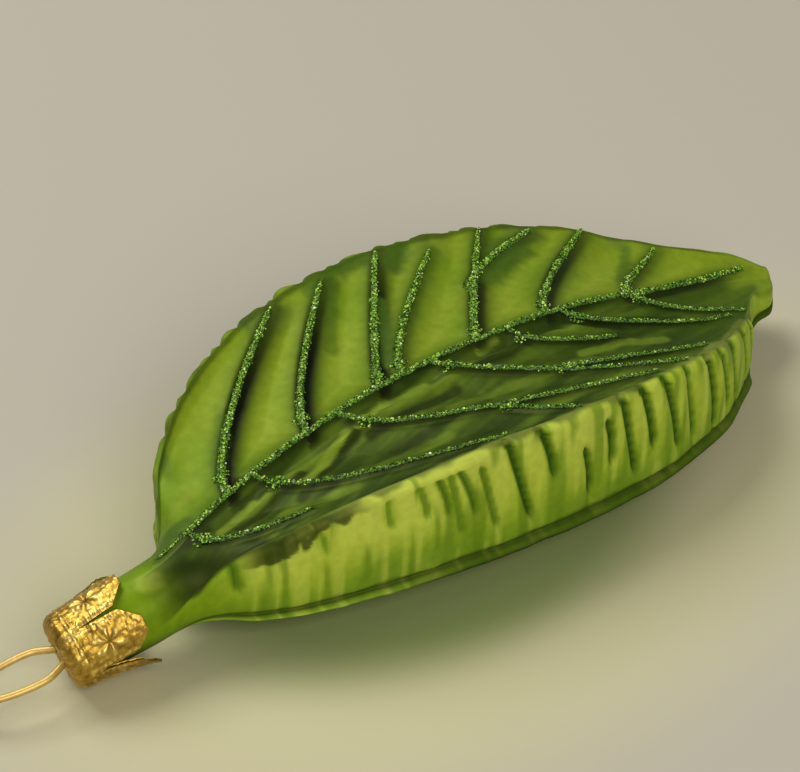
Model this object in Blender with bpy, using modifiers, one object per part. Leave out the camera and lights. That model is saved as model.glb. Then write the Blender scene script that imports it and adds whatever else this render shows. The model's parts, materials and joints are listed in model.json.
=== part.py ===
"""A leaf-shaped ornament of blown glass, lying on its back.

Pieces: the hollow glass leaf with its open neck, the net of glitter along its veins,
the stamped crown cap pushed over the neck, and the sprung wire hanger in the cap.
Sizes are millimetres in leaf coordinates: x runs from the leaf's base to its tip,
y across it, z up from the table. The finished part is written in metres.
"""
import math

import bmesh
import bpy
import numpy as np
from mathutils import Matrix, Vector
from mathutils.bvhtree import BVHTree

MM = 0.001

# Leaf: (x, value) knots of the smooth curves that shape it
LEAF_LENGTH = 98.3
FAR_WIDTH = ((0, 4.4), (4, 7.9), (12, 13.8), (25, 19.0), (38, 21.6), (50, 22.8), (62, 21.6),
             (75, 19.2), (80, 17.5), (84, 13.3), (87, 9.5), (90, 7.2), (94, 5.2), (98.3, 2.8))
NEAR_WIDTH = ((0, 4.4), (4, 7.2), (12, 12.8), (25, 18.4), (38, 21.1), (50, 22.1), (62, 21.4),
              (75, 18.0), (84, 13.0), (88, 11.7), (91, 10.2), (93, 8.3), (94.5, 5.3), (98.3, 3.2))
HALF_WIDTH = {1: FAR_WIDTH, -1: NEAR_WIDTH}
MIDLINE = ((0, -1.2), (17, 1.8), (33, 2.8), (50, 2.1), (67, 0.8), (83, -0.8), (91, -1.6),
           (98.3, -2.9))
MIDRIB_HEIGHT = ((0, 13.0), (17, 15.7), (33, 17.6), (50, 18.4), (67, 17.2), (83, 13.4), (98.3, 9.4))
RIM_HEIGHT = ((0, 11.4), (17, 18.1), (33, 20.3), (50, 20.5), (67, 18.9), (83, 14.9), (98.3, 9.8))
FACE_SAG = {1: 0.3, -1: 1.1}
RIM_RADIUS = 1.2
WALL_BULGE = 0.35
SEAM_HEIGHT = 5.6
SEAM_GROOVE = 0.35
LIP_HEIGHT = 4.7
LIP_OUT = 0.85
BACK_EDGE_HEIGHT = 3.9
BACK_RISES = ((3.2, 36.0, 0.0), (1.2, 64.0, 98.3), (4.8, 86.0, 97.0))
BACK_FLAT = 0.36
BACK_ROUND = 1.3
TIP_SEAM = 1.4
TIP_SLANT = 0.77
TIP_SLANT_RANGE = (82.0, 97.0)
TIP_ROUNDING = 1.0
TIP_CLOSING = ((0.8, 0.65), (0.4, 1.0))
TIP_POINT = 0.1

# Relief of the leaf's face and wall
RIDGE_HEIGHT = 0.15
RIDGE_WIDTH = 1.1
PANEL_HOLLOW = 0.95
PANEL_REACH = 3.2
RELIEF_RIM = (0.82, 1.0)
RELIEF_START = (1.0, 12.0)
RELIEF_END = (84.0, 94.0)
SAG_START = (2.0, 18.0)
SAG_END = (80.0, 95.0)
FLUTE_DEPTH = 0.42
FLUTE_PITCH = 4.1
FLUTE_SHIFT = 0.8
FLUTE_WANDER = ((1.3, 0.21), (0.7, 0.53))
FLUTE_START = (6.0, 16.0)
FLUTE_END = (92.0, 98.0)

# Neck and the wall of the glass
NECK_RADIUS = 4.4
MOUTH_RADIUS = 4.0
NECK_MOUTH = -13.1
NECK_CONE_END = -4.0
NECK_SIDE = -2.5
NECK_HEIGHT = 8.45
NECK_SLOPE = 0.25
NECK_TURN = -0.17
NECK_BLEND = (-3.5, 8.0)
NECK_STATIONS = (-9.0, -5.5, -3.5, -1.8)
INNER_NECK_STATIONS = (-5.5, -2.0)
GLASS_WALL = 0.9
MOUTH_ROUNDING = 0.45
FACE_ROOM = 0.55
FACE_ROOM_START = (0.0, 12.0)
INNER_RELIEF = 0.6
INNER_TIP = 90.0

# Veins that leave the midrib: name, side, x at the midrib, x and half-width share at the end, hook
VEINS = (("far_1", 1, 11.0, 33.5, 0.90, 0.70), ("far_2", 1, 24.0, 42.0, 0.88, 0.76),
         ("far_3", 1, 35.5, 51.5, 0.92, 0.92), ("far_4", 1, 39.0, 58.0, 0.82, 0.76),
         ("far_5", 1, 50.5, 67.0, 0.93, 0.90), ("far_6", 1, 61.5, 81.0, 0.95, 0.72),
         ("far_7", 1, 75.0, 87.0, 0.90, 0.62), ("far_8", 1, 75.0, 96.5, 0.62, 1.00),
         ("near_1", -1, 4.0, 16.0, 0.70, 0.50), ("near_2", -1, 15.0, 38.5, 0.92, 0.70),
         ("near_3", -1, 28.5, 62.0, 0.90, 0.68), ("near_4", -1, 43.0, 67.0, 0.93, 0.90),
         ("near_5", -1, 55.0, 66.0, 0.38, 0.50), ("near_6", -1, 63.5, 84.0, 0.68, 0.56),
         ("near_7", -1, 75.0, 88.0, 0.62, 0.67))
# Branches: name, side, vein they leave, share along it, x and half-width share at the end, hook
BRANCHES = (("far_5b", 1, "far_5", 0.40, 73.5, 0.88, 0.50),
            ("near_3b", -1, "near_3", 0.45, 49.0, 0.93, 0.80),
            ("near_4b", -1, "near_4", 0.46, 73.0, 0.86, 1.00))
MIDRIB_ENDS = (-0.5, 75.0)

# Glitter ropes
ROPE_RADIUS = 0.5
ROPE_GAP = 0.25
ROPE_REACH = 0.6
ROPE_STEP = 2.6
ROPE_BEVEL = 1
ABOVE_ALL = 100.0

# Crown cap
CAP_TABS = 5
CAP_SHEET = 0.35
CAP_GAP = 0.3
CAP_ROUNDING = 1.1
CAP_CHAMFER = 0.3
CAP_BAND = 2.2
CAP_LENGTH = 9.4
CAP_SHOULDER = 7.3
CAP_CORNER = 0.3
CAP_CROWN = 0.05
CAP_FLARES = (0.05, 0.15, 1.0, 0.5, 0.4)
CAP_SLIT = 0.10
CAP_TURN = math.radians(41.0)
COLUMNS_PER_TAB = 6
TAB_ROWS = 4

# Wire hanger
WIRE_RADIUS = 0.38
HOLE_RADIUS = 0.76
HOLE_OFFSET = 1.05
HOLE_SIDES = 12
CUTTER_LENGTH = 6.0
LOOP_LENGTH = 11.5
LOOP_HALF_WIDTH = 1.95
LOOP_OPENING = (-2.0, 3.0)
LOOP_RISE = 0.13
LOOP_POINTS = 13
LEG_LENGTH = 7.5
LEG_POINTS = 6
LEG_STRAIGHT = 1.2
LEG_CLEARANCE = 0.3
WIRE_BEVEL = 2

# Mesh fineness
FACE_STEPS = 9
CORNER_STEPS = 2
WALL_STEPS = 4
BACK_STEPS = 3
OUTER_STATIONS = 66
INNER_STATIONS = 22


def smooth(x, knots):
    """A smooth curve through (position, value) knots, for an array of positions."""
    at = np.array([knot[0] for knot in knots], float)
    value = np.array([knot[1] for knot in knots], float)
    slope = np.gradient(value, at)
    x = np.clip(np.asarray(x, float), at[0], at[-1])
    i = np.clip(np.searchsorted(at, x) - 1, 0, len(at) - 2)
    span = at[i + 1] - at[i]
    t = (x - at[i]) / span
    rise = value[i] * (2 * t**3 - 3 * t**2 + 1) + value[i + 1] * (3 * t**2 - 2 * t**3)
    return rise + span * (slope[i] * (t**3 - 2 * t**2 + t) + slope[i + 1] * (t**3 - t**2))


def ease(value, low, high):
    """A smooth step from 0 at low to 1 at high."""
    t = np.clip((np.asarray(value, float) - low) / (high - low), 0.0, 1.0)
    return t * t * (3.0 - 2.0 * t)


def neck_centre(x):
    """Centre line of the neck, which drops and turns a little towards the cap."""
    return np.array([x, NECK_SIDE + NECK_TURN * x, NECK_HEIGHT + NECK_SLOPE * x])


def neck_axes():
    """Unit vectors of the neck: along it towards the leaf, across it, and up."""
    axis = Vector((1.0, NECK_TURN, NECK_SLOPE)).normalized()
    across = Vector((0.0, 1.0, 0.0))
    across = (across - axis * across.dot(axis)).normalized()
    return axis, across, axis.cross(across)


def neck_radius(x):
    """Outer radius of the neck, which narrows under the cap."""
    share = np.clip((x - NECK_MOUTH) / (NECK_CONE_END - NECK_MOUTH), 0.0, 1.0)
    return MOUTH_RADIUS + (NECK_RADIUS - MOUTH_RADIUS) * float(share)


def vein_curve(start, end, hook, steps=14):
    """Plan points of a vein that leaves its start steeply and bends on towards the tip."""
    t = np.linspace(0.0, 1.0, steps)[:, None]
    run = np.hstack([t, t**hook])
    return np.array(start) + run * (np.array(end) - np.array(start))


def vein_curves():
    """Every vein and branch by name, as plan points, the midrib first."""
    x = np.linspace(*MIDRIB_ENDS, 40)
    curves = {"midrib": np.stack([x, smooth(x, MIDLINE)], 1)}
    for name, side, x0, x1, share, hook in VEINS:
        start = (x0, float(smooth(x0, MIDLINE)))
        end = (x1, float(smooth(x1, MIDLINE) + side * share * smooth(x1, HALF_WIDTH[side])))
        curves[name] = vein_curve(start, end, hook)
    for name, side, parent, along, x1, share, hook in BRANCHES:
        start = curves[parent][round(along * (len(curves[parent]) - 1))]
        end = (x1, float(smooth(x1, MIDLINE) + side * share * smooth(x1, HALF_WIDTH[side])))
        curves[name] = vein_curve(start, end, hook)
    return curves


def vein_distance(points, curves):
    """Distance in plan from each point to the nearest vein."""
    nearest = np.full(len(points), 1e9)
    for curve in curves.values():
        for a, b in zip(curve[:-1], curve[1:]):
            along = np.clip((points - a) @ (b - a) / ((b - a) @ (b - a)), 0.0, 1.0)
            foot = a + along[:, None] * (b - a)
            nearest = np.minimum(nearest, np.hypot(*(points - foot).T))
    return nearest


def face_relief(points, curves):
    """Ridges along the veins and the hollows between them, fading out at the rim and the base."""
    distance = vein_distance(points, curves)
    x, y = points.T
    offset = y - smooth(x, MIDLINE)
    width = np.where(offset > 0.0, smooth(x, FAR_WIDTH), smooth(x, NEAR_WIDTH))
    inside = 1.0 - ease(np.abs(offset) / width, *RELIEF_RIM)
    ends = ease(x, *RELIEF_START) * (1.0 - ease(x, *RELIEF_END))
    ridge = RIDGE_HEIGHT * np.exp(-(distance / RIDGE_WIDTH) ** 2)
    hollow = PANEL_HOLLOW * (1.0 - np.exp(-(distance / PANEL_REACH) ** 2))
    return (ridge - hollow) * inside * ends


def flute(x, side):
    """Depth of the wall's upright flutes along the leaf, uneven as cut by hand."""
    (slow, slow_rate), (quick, quick_rate) = FLUTE_WANDER
    phase = 2.0 * math.pi * x / FLUTE_PITCH + side * FLUTE_SHIFT
    wander = slow * math.sin(slow_rate * x + side) + quick * math.sin(quick_rate * x)
    ends = float(ease(x, *FLUTE_START) * (1.0 - ease(x, *FLUTE_END)))
    return FLUTE_DEPTH * math.cos(phase + wander) * ends


def back_height(x):
    """Height of the back's middle: flat on the table at mid-length, rising to the neck and the tip."""
    return sum(rise * float(ease(x, low, high)) for rise, low, high in BACK_RISES)


def half_profile(x, side, inset):
    """Section of one half of the leaf, (y, z) from the midrib round the rim to the back's middle."""
    width = float(smooth(x, HALF_WIDTH[side])) - inset
    middle = float(smooth(x, MIDLINE))
    room = FACE_ROOM * float(ease(x, *FACE_ROOM_START)) if inset else 0.0
    top = float(smooth(x, MIDRIB_HEIGHT)) - inset - room
    rim = float(smooth(x, RIM_HEIGHT)) - inset - room
    back = back_height(x) + inset
    seam = min(max(SEAM_HEIGHT, back + TIP_SEAM), 0.5 * (rim + back))
    lip = back + (seam - back) * LIP_HEIGHT / SEAM_HEIGHT
    back_edge = back + (seam - back) * BACK_EDGE_HEIGHT / SEAM_HEIGHT
    radius = min(RIM_RADIUS, 0.4 * width)
    outside = 1.0 if inset == 0.0 else 0.0
    deepest = FACE_SAG[side] * float(ease(x, *SAG_START) * (1.0 - ease(x, *SAG_END)))
    points = []
    for k in range(FACE_STEPS):
        t = k / FACE_STEPS
        sag = deepest * 4.0 * t * (1.0 - t)
        points.append((t * (width - radius), top + (rim - top) * t * t - sag))
    for k in range(CORNER_STEPS):
        turn = 0.5 * math.pi * k / CORNER_STEPS
        out = radius * math.sin(turn) + outside * flute(x, side) * math.sin(turn)
        points.append((width - radius + out, rim - radius + radius * math.cos(turn)))
    for k in range(WALL_STEPS):
        t = k / WALL_STEPS
        push = WALL_BULGE * math.sin(math.pi * t) + outside * flute(x, side)
        points.append((width + push, rim - radius + (seam - rim + radius) * t))
    points.append((width - outside * SEAM_GROOVE, seam))
    points.append((width + outside * LIP_OUT, lip))
    for k in range(BACK_STEPS + 1):
        t = 1.0 - k / BACK_STEPS
        rise = float(ease(t, BACK_FLAT, BACK_ROUND) / ease(1.0, BACK_FLAT, BACK_ROUND))
        points.append((width * t, back + (back_edge - back) * rise))
    return [(middle + side * y, z) for y, z in points]


def ring(x, inset):
    """Closed section at x as 3D points: round at the neck, leaf-shaped beyond it."""
    near = half_profile(max(x, 0.0), -1, inset)
    far = half_profile(max(x, 0.0), 1, inset)
    leaf = np.array(far + near[-2:0:-1])
    count = len(leaf)
    angle = 2.0 * math.pi * np.arange(count) / count
    _, across, up = neck_axes()
    spokes = np.outer(np.sin(angle), across) + np.outer(np.cos(angle), up)
    neck = neck_centre(x) + (neck_radius(x) - inset) * spokes
    slant = TIP_SLANT * float(ease(x, *TIP_SLANT_RANGE))
    flat = np.column_stack([x + slant * (leaf[:, 0] - float(smooth(x, MIDLINE))), leaf])
    return neck + float(ease(x, *NECK_BLEND)) * (flat - neck)


def mesh_object(name, vertices, faces, material):
    """A smooth-shaded object in metres from points in millimetres, its faces turned outwards."""
    mesh = bpy.data.meshes.new(name)
    mesh.from_pydata([Vector(point) * MM for point in vertices], [], faces)
    shell = bmesh.new()
    shell.from_mesh(mesh)
    bmesh.ops.recalc_face_normals(shell, faces=shell.faces)
    shell.to_mesh(mesh)
    shell.free()
    mesh.shade_smooth()
    mesh.materials.append(material)
    thing = bpy.data.objects.new(name, mesh)
    part_collection.objects.link(thing)
    return thing


def bridge(first, second, count):
    """Quads between two rings of the same number of vertices."""
    return [(first + k, first + (k + 1) % count, second + (k + 1) % count, second + k)
            for k in range(count)]


def make_glass(curves, material):
    """The hollow blown shell: outer loft with its relief, inner loft, joined at the neck's mouth."""
    body = np.linspace(0.0, 1.0, OUTER_STATIONS) * LEAF_LENGTH
    outer = [ring(NECK_MOUTH, MOUTH_ROUNDING)]
    outer += [ring(x, 0.0) for x in (NECK_MOUTH + MOUTH_ROUNDING, *NECK_STATIONS, *body)]
    tip = outer[-1]
    heart = tip.mean(axis=0)
    for share, ahead in TIP_CLOSING:
        outer.append(heart + share * (tip - heart) + (ahead * TIP_ROUNDING, 0.0, 0.0))
    count = len(tip)
    face_columns = np.r_[0:FACE_STEPS + 1, count - FACE_STEPS:count]
    inner = [ring(x, GLASS_WALL) for x in (NECK_MOUTH, *INNER_NECK_STATIONS)]
    inner += [ring(x, GLASS_WALL) for x in np.linspace(0.0, INNER_TIP, INNER_STATIONS)]
    for sections, share in ((outer, 1.0), (inner, INNER_RELIEF)):
        for section in sections:
            section[face_columns, 2] += share * face_relief(section[face_columns, :2], curves)

    vertices = np.vstack(outer + inner)
    faces = []
    for station in range(len(outer) - 1):
        faces += bridge(station * count, (station + 1) * count, count)
    start = len(outer) * count
    for station in range(len(inner) - 1):
        faces += bridge(start + station * count, start + (station + 1) * count, count)
    faces += bridge(0, start, count)
    ends = [outer[-1], inner[-1]]
    firsts = [(len(outer) - 1) * count, start + (len(inner) - 1) * count]
    points = [tuple(point) for point in vertices]
    for end, first in zip(ends, firsts):
        points.append(tuple(end.mean(axis=0) + (TIP_POINT, 0.0, 0.0)))
        centre = len(points) - 1
        faces += [(first + k, first + (k + 1) % count, centre) for k in range(count)]
    return mesh_object("leaf_glass", points, faces, material)


def tube(name, points, radius, bevel, material):
    """A round tube along points in millimetres, as a curve with a bevel and filled caps."""
    curve = bpy.data.curves.new(name, "CURVE")
    curve.dimensions = "3D"
    curve.bevel_depth = radius * MM
    curve.bevel_resolution = bevel
    curve.use_fill_caps = True
    spline = curve.splines.new("POLY")
    spline.points.add(len(points) - 1)
    for target, point in zip(spline.points, points):
        target.co = (*(Vector(point) * MM), 1.0)
    thing = bpy.data.objects.new(name, curve)
    curve.materials.append(material)
    part_collection.objects.link(thing)
    return thing


def as_mesh(thing):
    """The object with its evaluated mesh in place of its curve or modifiers, caps welded."""
    evaluated = thing.evaluated_get(bpy.context.evaluated_depsgraph_get())
    mesh = bpy.data.meshes.new_from_object(evaluated)
    welded = bmesh.new()
    welded.from_mesh(mesh)
    bmesh.ops.remove_doubles(welded, verts=welded.verts, dist=1e-6)
    welded.to_mesh(mesh)
    welded.free()
    solid = bpy.data.objects.new(thing.name + "_mesh", mesh)
    solid.matrix_world = thing.matrix_world
    part_collection.objects.link(solid)
    name = thing.name
    bpy.data.objects.remove(thing)
    solid.name = name
    return solid


def rope_path(curve, surface):
    """Points along a vein, lifted off the glass under them by the rope's radius and its gap."""
    steps = np.hypot(*np.diff(curve, axis=0).T)
    length = np.concatenate([[0.0], np.cumsum(steps)])
    count = max(3, round(length[-1] / ROPE_STEP) + 1)
    at = np.linspace(0.0, length[-1], count)
    plan = np.stack([np.interp(at, length, curve[:, k]) for k in (0, 1)], 1)
    points = []
    for x, y in plan:
        heights = []
        for dx, dy in ((0, 0), (1, 0), (-1, 0), (0, 1), (0, -1)):
            above = Vector((x + dx * ROPE_REACH, y + dy * ROPE_REACH, ABOVE_ALL)) * MM
            hit, _, _, _ = surface.ray_cast(above, Vector((0.0, 0.0, -1.0)))
            heights.append(hit.z / MM)
        points.append((x, y, max(heights) + ROPE_RADIUS + ROPE_GAP))
    return points


def make_glitter(curves, glass, material):
    """The net of glitter: one rope on each vein, joined into a single body."""
    surface = BVHTree.FromObject(glass, bpy.context.evaluated_depsgraph_get())
    ropes = bpy.data.collections.new("glitter_ropes")
    bpy.context.scene.collection.children.link(ropes)
    first = None
    for name, curve in curves.items():
        path = rope_path(curve, surface)
        rope = as_mesh(tube("rope_" + name, path, ROPE_RADIUS, ROPE_BEVEL, material))
        if first is None:
            first = rope
            continue
        part_collection.objects.unlink(rope)
        ropes.objects.link(rope)
    union = first.modifiers.new("union", "BOOLEAN")
    union.operation = "UNION"
    union.operand_type = "COLLECTION"
    union.collection = ropes
    union.solver = "EXACT"
    net = as_mesh(first)
    net.name = "glitter_veins"
    for rope in list(ropes.objects):
        bpy.data.objects.remove(rope)
    bpy.data.collections.remove(ropes)
    return net


def cap_point(turn, s, radius):
    """A point of the cap from its angle, its distance along the axis and its radius."""
    return (radius * math.cos(turn), radius * math.sin(turn), s)


def cap_radius(s):
    """Radius to the middle of the cap's sheet: it widens as the neck under it does."""
    widening = (NECK_RADIUS - MOUTH_RADIUS) / (NECK_CONE_END - NECK_MOUTH)
    return MOUTH_RADIUS + CAP_GAP + 0.5 * CAP_SHEET + widening * s


def make_cap(seat, material):
    """The stamped crown: end disc, short band and five flared tabs, from one sheet."""
    end_radius = cap_radius(0.0)
    cut = CAP_CHAMFER * CAP_ROUNDING
    columns = CAP_TABS * COLUMNS_PER_TAB
    step = 2.0 * math.pi / columns
    vertices = [(0.0, 0.0, 0.0)]
    faces = []
    rows = ((0.0, 0.5 * end_radius), (0.0, end_radius - CAP_ROUNDING), (cut, end_radius - cut),
            (CAP_ROUNDING, cap_radius(CAP_ROUNDING)), (CAP_BAND, cap_radius(CAP_BAND)))
    for s, r in rows:
        vertices += [cap_point(CAP_TURN + k * step, s, r) for k in range(columns)]
    faces += [(0, 1 + k, 1 + (k + 1) % columns) for k in range(columns)]
    for row in range(len(rows) - 1):
        faces += bridge(1 + row * columns, 1 + (row + 1) * columns, columns)
    base = 1 + (len(rows) - 1) * columns
    for tab in range(CAP_TABS):
        below = [base + (tab * COLUMNS_PER_TAB + k) % columns for k in range(COLUMNS_PER_TAB + 1)]
        for row in range(1, TAB_ROWS + 1):
            t = row / TAB_ROWS
            current = []
            for k in range(COLUMNS_PER_TAB + 1):
                across = 2.0 * k / COLUMNS_PER_TAB - 1.0
                clipped = max(abs(across) - CAP_CORNER, 0.0) / (1.0 - CAP_CORNER)
                end = CAP_LENGTH - (CAP_LENGTH - CAP_SHOULDER) * clipped
                s = CAP_BAND + (end - CAP_BAND) * t
                narrow = 1.0 - CAP_SLIT * t
                turn = CAP_TURN + (tab + 0.5 + 0.5 * across * narrow) * COLUMNS_PER_TAB * step
                flat = 1.0 + CAP_CROWN * (1.0 - across * across) * t
                r = (cap_radius(s) + CAP_FLARES[tab] * t * t) * flat
                current.append(len(vertices))
                vertices.append(cap_point(turn, s, r))
            faces += [(below[k], below[k + 1], current[k + 1], current[k])
                      for k in range(COLUMNS_PER_TAB)]
            below = current
    cap = mesh_object("crown_cap", vertices, faces, material)
    sheet = cap.modifiers.new("sheet", "SOLIDIFY")
    sheet.thickness = CAP_SHEET * MM
    sheet.offset = 0.0
    sheet.use_even_offset = True
    cap.matrix_world = seat
    for side in (-1, 1):
        bpy.ops.mesh.primitive_cylinder_add(vertices=HOLE_SIDES, radius=HOLE_RADIUS * MM,
                                            depth=CUTTER_LENGTH * MM)
        cutter = bpy.context.object
        cutter.name = "hole_cutter_" + ("far" if side > 0 else "near")
        cutter.matrix_world = seat @ Matrix.Translation((side * HOLE_OFFSET * MM, 0.0, 0.0))
        cutter.hide_render = True
        cutter.display_type = "WIRE"
        for owner in list(cutter.users_collection):
            owner.objects.unlink(cutter)
        cutter_collection.objects.link(cutter)
        hole = cap.modifiers.new("hole", "BOOLEAN")
        hole.operation = "DIFFERENCE"
        hole.object = cutter
        hole.solver = "EXACT"
    return cap


def make_wire(seat, material):
    """The hanger: a small round loop outside, and two legs sprung apart inside the neck."""
    half = []
    for k in range(LOOP_POINTS):
        angle = math.pi * (k + 1) / LOOP_POINTS
        out = LOOP_LENGTH * 0.5 * (1.0 - math.cos(angle))
        wide = LOOP_HALF_WIDTH * math.sin(angle) * float(ease(out, *LOOP_OPENING))
        close = HOLE_OFFSET * math.cos(0.5 * angle) ** 2
        half.append((wide + close, LOOP_RISE * out, -out))
    spread = MOUTH_RADIUS - GLASS_WALL - WIRE_RADIUS - LEG_CLEARANCE - HOLE_OFFSET
    legs = []
    for k in range(LEG_POINTS):
        s = LEG_LENGTH * (1.0 - k / (LEG_POINTS - 1))
        legs.append((HOLE_OFFSET + spread * float(ease(s, LEG_STRAIGHT, LEG_LENGTH)), 0.0, s))
    far = legs + half
    near = [(-x, y, z) for x, y, z in reversed(far[:-1])]
    wire = tube("hanger_wire", far + near, WIRE_RADIUS, WIRE_BEVEL, material)
    wire.matrix_world = seat
    return wire


def principled(name, colour, metallic, roughness):
    """A plain material with the piece's own colour."""
    material = bpy.data.materials.new(name)
    material.use_nodes = True
    shader = material.node_tree.nodes["Principled BSDF"]
    shader.inputs["Base Color"].default_value = (*colour, 1.0)
    shader.inputs["Metallic"].default_value = metallic
    shader.inputs["Roughness"].default_value = roughness
    return material


def neck_seat():
    """Where a piece modelled along +Z sits on the neck, its zero just outside the mouth."""
    axis, across, up = neck_axes()
    seat = Vector(neck_centre(NECK_MOUTH)) - axis * (CAP_GAP + 0.5 * CAP_SHEET)
    return Matrix.Translation(seat * MM) @ Matrix((across, up, axis)).transposed().to_4x4()


def centre_part(things):
    """Shift the pieces so that the origin is the middle of their box, at its bottom."""
    bpy.context.view_layer.update()
    graph = bpy.context.evaluated_depsgraph_get()
    corners = []
    for thing in things:
        mesh = thing.evaluated_get(graph).to_mesh()
        corners += [thing.matrix_world @ vertex.co for vertex in mesh.vertices]
    corners = np.array(corners)
    low, high = corners.min(axis=0), corners.max(axis=0)
    middle = Vector((0.5 * (low[0] + high[0]), 0.5 * (low[1] + high[1]), low[2]))
    anchor = bpy.data.objects.new("ornament", None)
    part_collection.objects.link(anchor)
    for thing in things + list(cutter_collection.objects):
        thing.parent = anchor
    anchor.location = -middle


for old in list(bpy.data.objects):
    bpy.data.objects.remove(old)
part_collection = bpy.data.collections.new("leaf_ornament")
cutter_collection = bpy.data.collections.new("cutters")
bpy.context.scene.collection.children.link(part_collection)
bpy.context.scene.collection.children.link(cutter_collection)

lacquer = principled("green_lacquer", (0.18, 0.27, 0.03), 0.35, 0.32)
glitter = principled("green_glitter", (0.07, 0.22, 0.03), 0.5, 0.4)
gold = principled("gold_sheet", (0.80, 0.52, 0.12), 1.0, 0.35)
pale_gold = principled("pale_gold_wire", (0.78, 0.62, 0.30), 1.0, 0.4)

vein_lines = vein_curves()
leaf = make_glass(vein_lines, lacquer)
net = make_glitter(vein_lines, leaf, glitter)
cap_seat = neck_seat()
cap = make_cap(cap_seat, gold)
wire = make_wire(cap_seat, pale_gold)
centre_part([leaf, net, cap, wire])
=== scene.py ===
"""Looks of the leaf-shaped ornament of blown glass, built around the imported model.

The leaf's shape functions work in millimetres in the leaf's own coordinates, as the model's do:
x runs from the leaf's base to its tip, y across it, z up. LEAF_PLACE moves them into the frame.
"""
import json
import math

import bpy
import numpy as np
from mathutils import Matrix, Vector

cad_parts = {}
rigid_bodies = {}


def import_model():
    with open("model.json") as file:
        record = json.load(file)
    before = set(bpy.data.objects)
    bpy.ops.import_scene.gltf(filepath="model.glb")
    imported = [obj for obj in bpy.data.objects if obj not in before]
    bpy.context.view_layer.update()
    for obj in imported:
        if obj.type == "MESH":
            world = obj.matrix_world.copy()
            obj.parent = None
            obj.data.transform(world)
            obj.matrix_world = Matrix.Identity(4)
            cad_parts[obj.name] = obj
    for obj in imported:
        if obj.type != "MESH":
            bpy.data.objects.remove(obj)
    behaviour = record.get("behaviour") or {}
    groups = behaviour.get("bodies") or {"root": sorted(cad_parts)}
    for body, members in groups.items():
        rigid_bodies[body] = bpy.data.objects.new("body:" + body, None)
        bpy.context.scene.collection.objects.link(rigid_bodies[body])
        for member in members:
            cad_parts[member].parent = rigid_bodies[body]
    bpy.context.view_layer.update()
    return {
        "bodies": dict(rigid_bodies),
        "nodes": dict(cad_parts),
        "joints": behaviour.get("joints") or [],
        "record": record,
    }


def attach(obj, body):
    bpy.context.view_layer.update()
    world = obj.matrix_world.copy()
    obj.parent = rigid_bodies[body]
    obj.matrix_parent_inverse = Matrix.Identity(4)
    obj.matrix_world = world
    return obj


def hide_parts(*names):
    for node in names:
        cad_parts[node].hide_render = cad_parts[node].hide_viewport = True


MM = 0.001

# Leaf: (x, value) knots of the smooth curves that shape it
LEAF_LENGTH = 98.3
TIP_CLOSING = 1.1
FAR_WIDTH = ((0, 4.4), (4, 7.9), (12, 13.8), (25, 19.0), (38, 21.6), (50, 22.8), (62, 21.6),
             (75, 19.2), (80, 17.5), (84, 13.3), (87, 9.5), (90, 7.2), (94, 5.2), (98.3, 2.8))
NEAR_WIDTH = ((0, 4.4), (4, 7.2), (12, 12.8), (25, 18.4), (38, 21.1), (50, 22.1), (62, 21.4),
              (75, 18.0), (84, 13.0), (88, 11.7), (91, 10.2), (93, 8.3), (94.5, 5.3), (98.3, 3.2))
HALF_WIDTH = {1: FAR_WIDTH, -1: NEAR_WIDTH}
MIDLINE = ((0, -1.2), (17, 1.8), (33, 2.8), (50, 2.1), (67, 0.8), (83, -0.8), (91, -1.6),
           (98.3, -2.9))
MIDRIB_HEIGHT = ((0, 13.0), (17, 15.7), (33, 17.6), (50, 18.4), (67, 17.2), (83, 13.4), (98.3, 9.4))
RIM_HEIGHT = ((0, 11.4), (17, 18.1), (33, 20.3), (50, 20.5), (67, 18.9), (83, 14.9), (98.3, 9.8))
FACE_SAG = {1: 0.3, -1: 1.1}
SAG_START = (2.0, 18.0)
SAG_END = (80.0, 95.0)
RIM_RADIUS = 1.2
WALL_BULGE = 0.35
SEAM_HEIGHT = 5.6
SEAM_GROOVE = 0.35
SEAM_WIDTH = 0.45
SEAM_WANDER = 0.22
LIP_OUT = 0.85
BACK_EDGE_HEIGHT = 3.9
BACK_RISES = ((3.2, 36.0, 0.0), (1.2, 64.0, 98.3), (4.8, 86.0, 97.0))
BACK_FLAT = 0.36
BACK_ROUND = 1.3
TIP_SEAM = 1.4
TIP_SLANT = 0.77
TIP_SLANT_RANGE = (82.0, 97.0)

# Relief of the face
RIDGE_HEIGHT = 0.15
RIDGE_WIDTH = 1.1
PANEL_HOLLOW = 0.95
PANEL_REACH = 3.2
SHADE_GROOVE = (0.24, 0.95, 0.5)
FOLD_CREST = (0.42, 3.5, 0.75)
FOLD_TROUGH = (0.34, 1.9, 0.7)
FOLD_START = (8.0, 16.0)
FOLD_END = (62.0, 72.0)
RELIEF_RIM = (0.82, 1.0)
RELIEF_START = (1.0, 12.0)
RELIEF_END = (84.0, 94.0)
LIT_SIDE = 2.5

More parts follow.
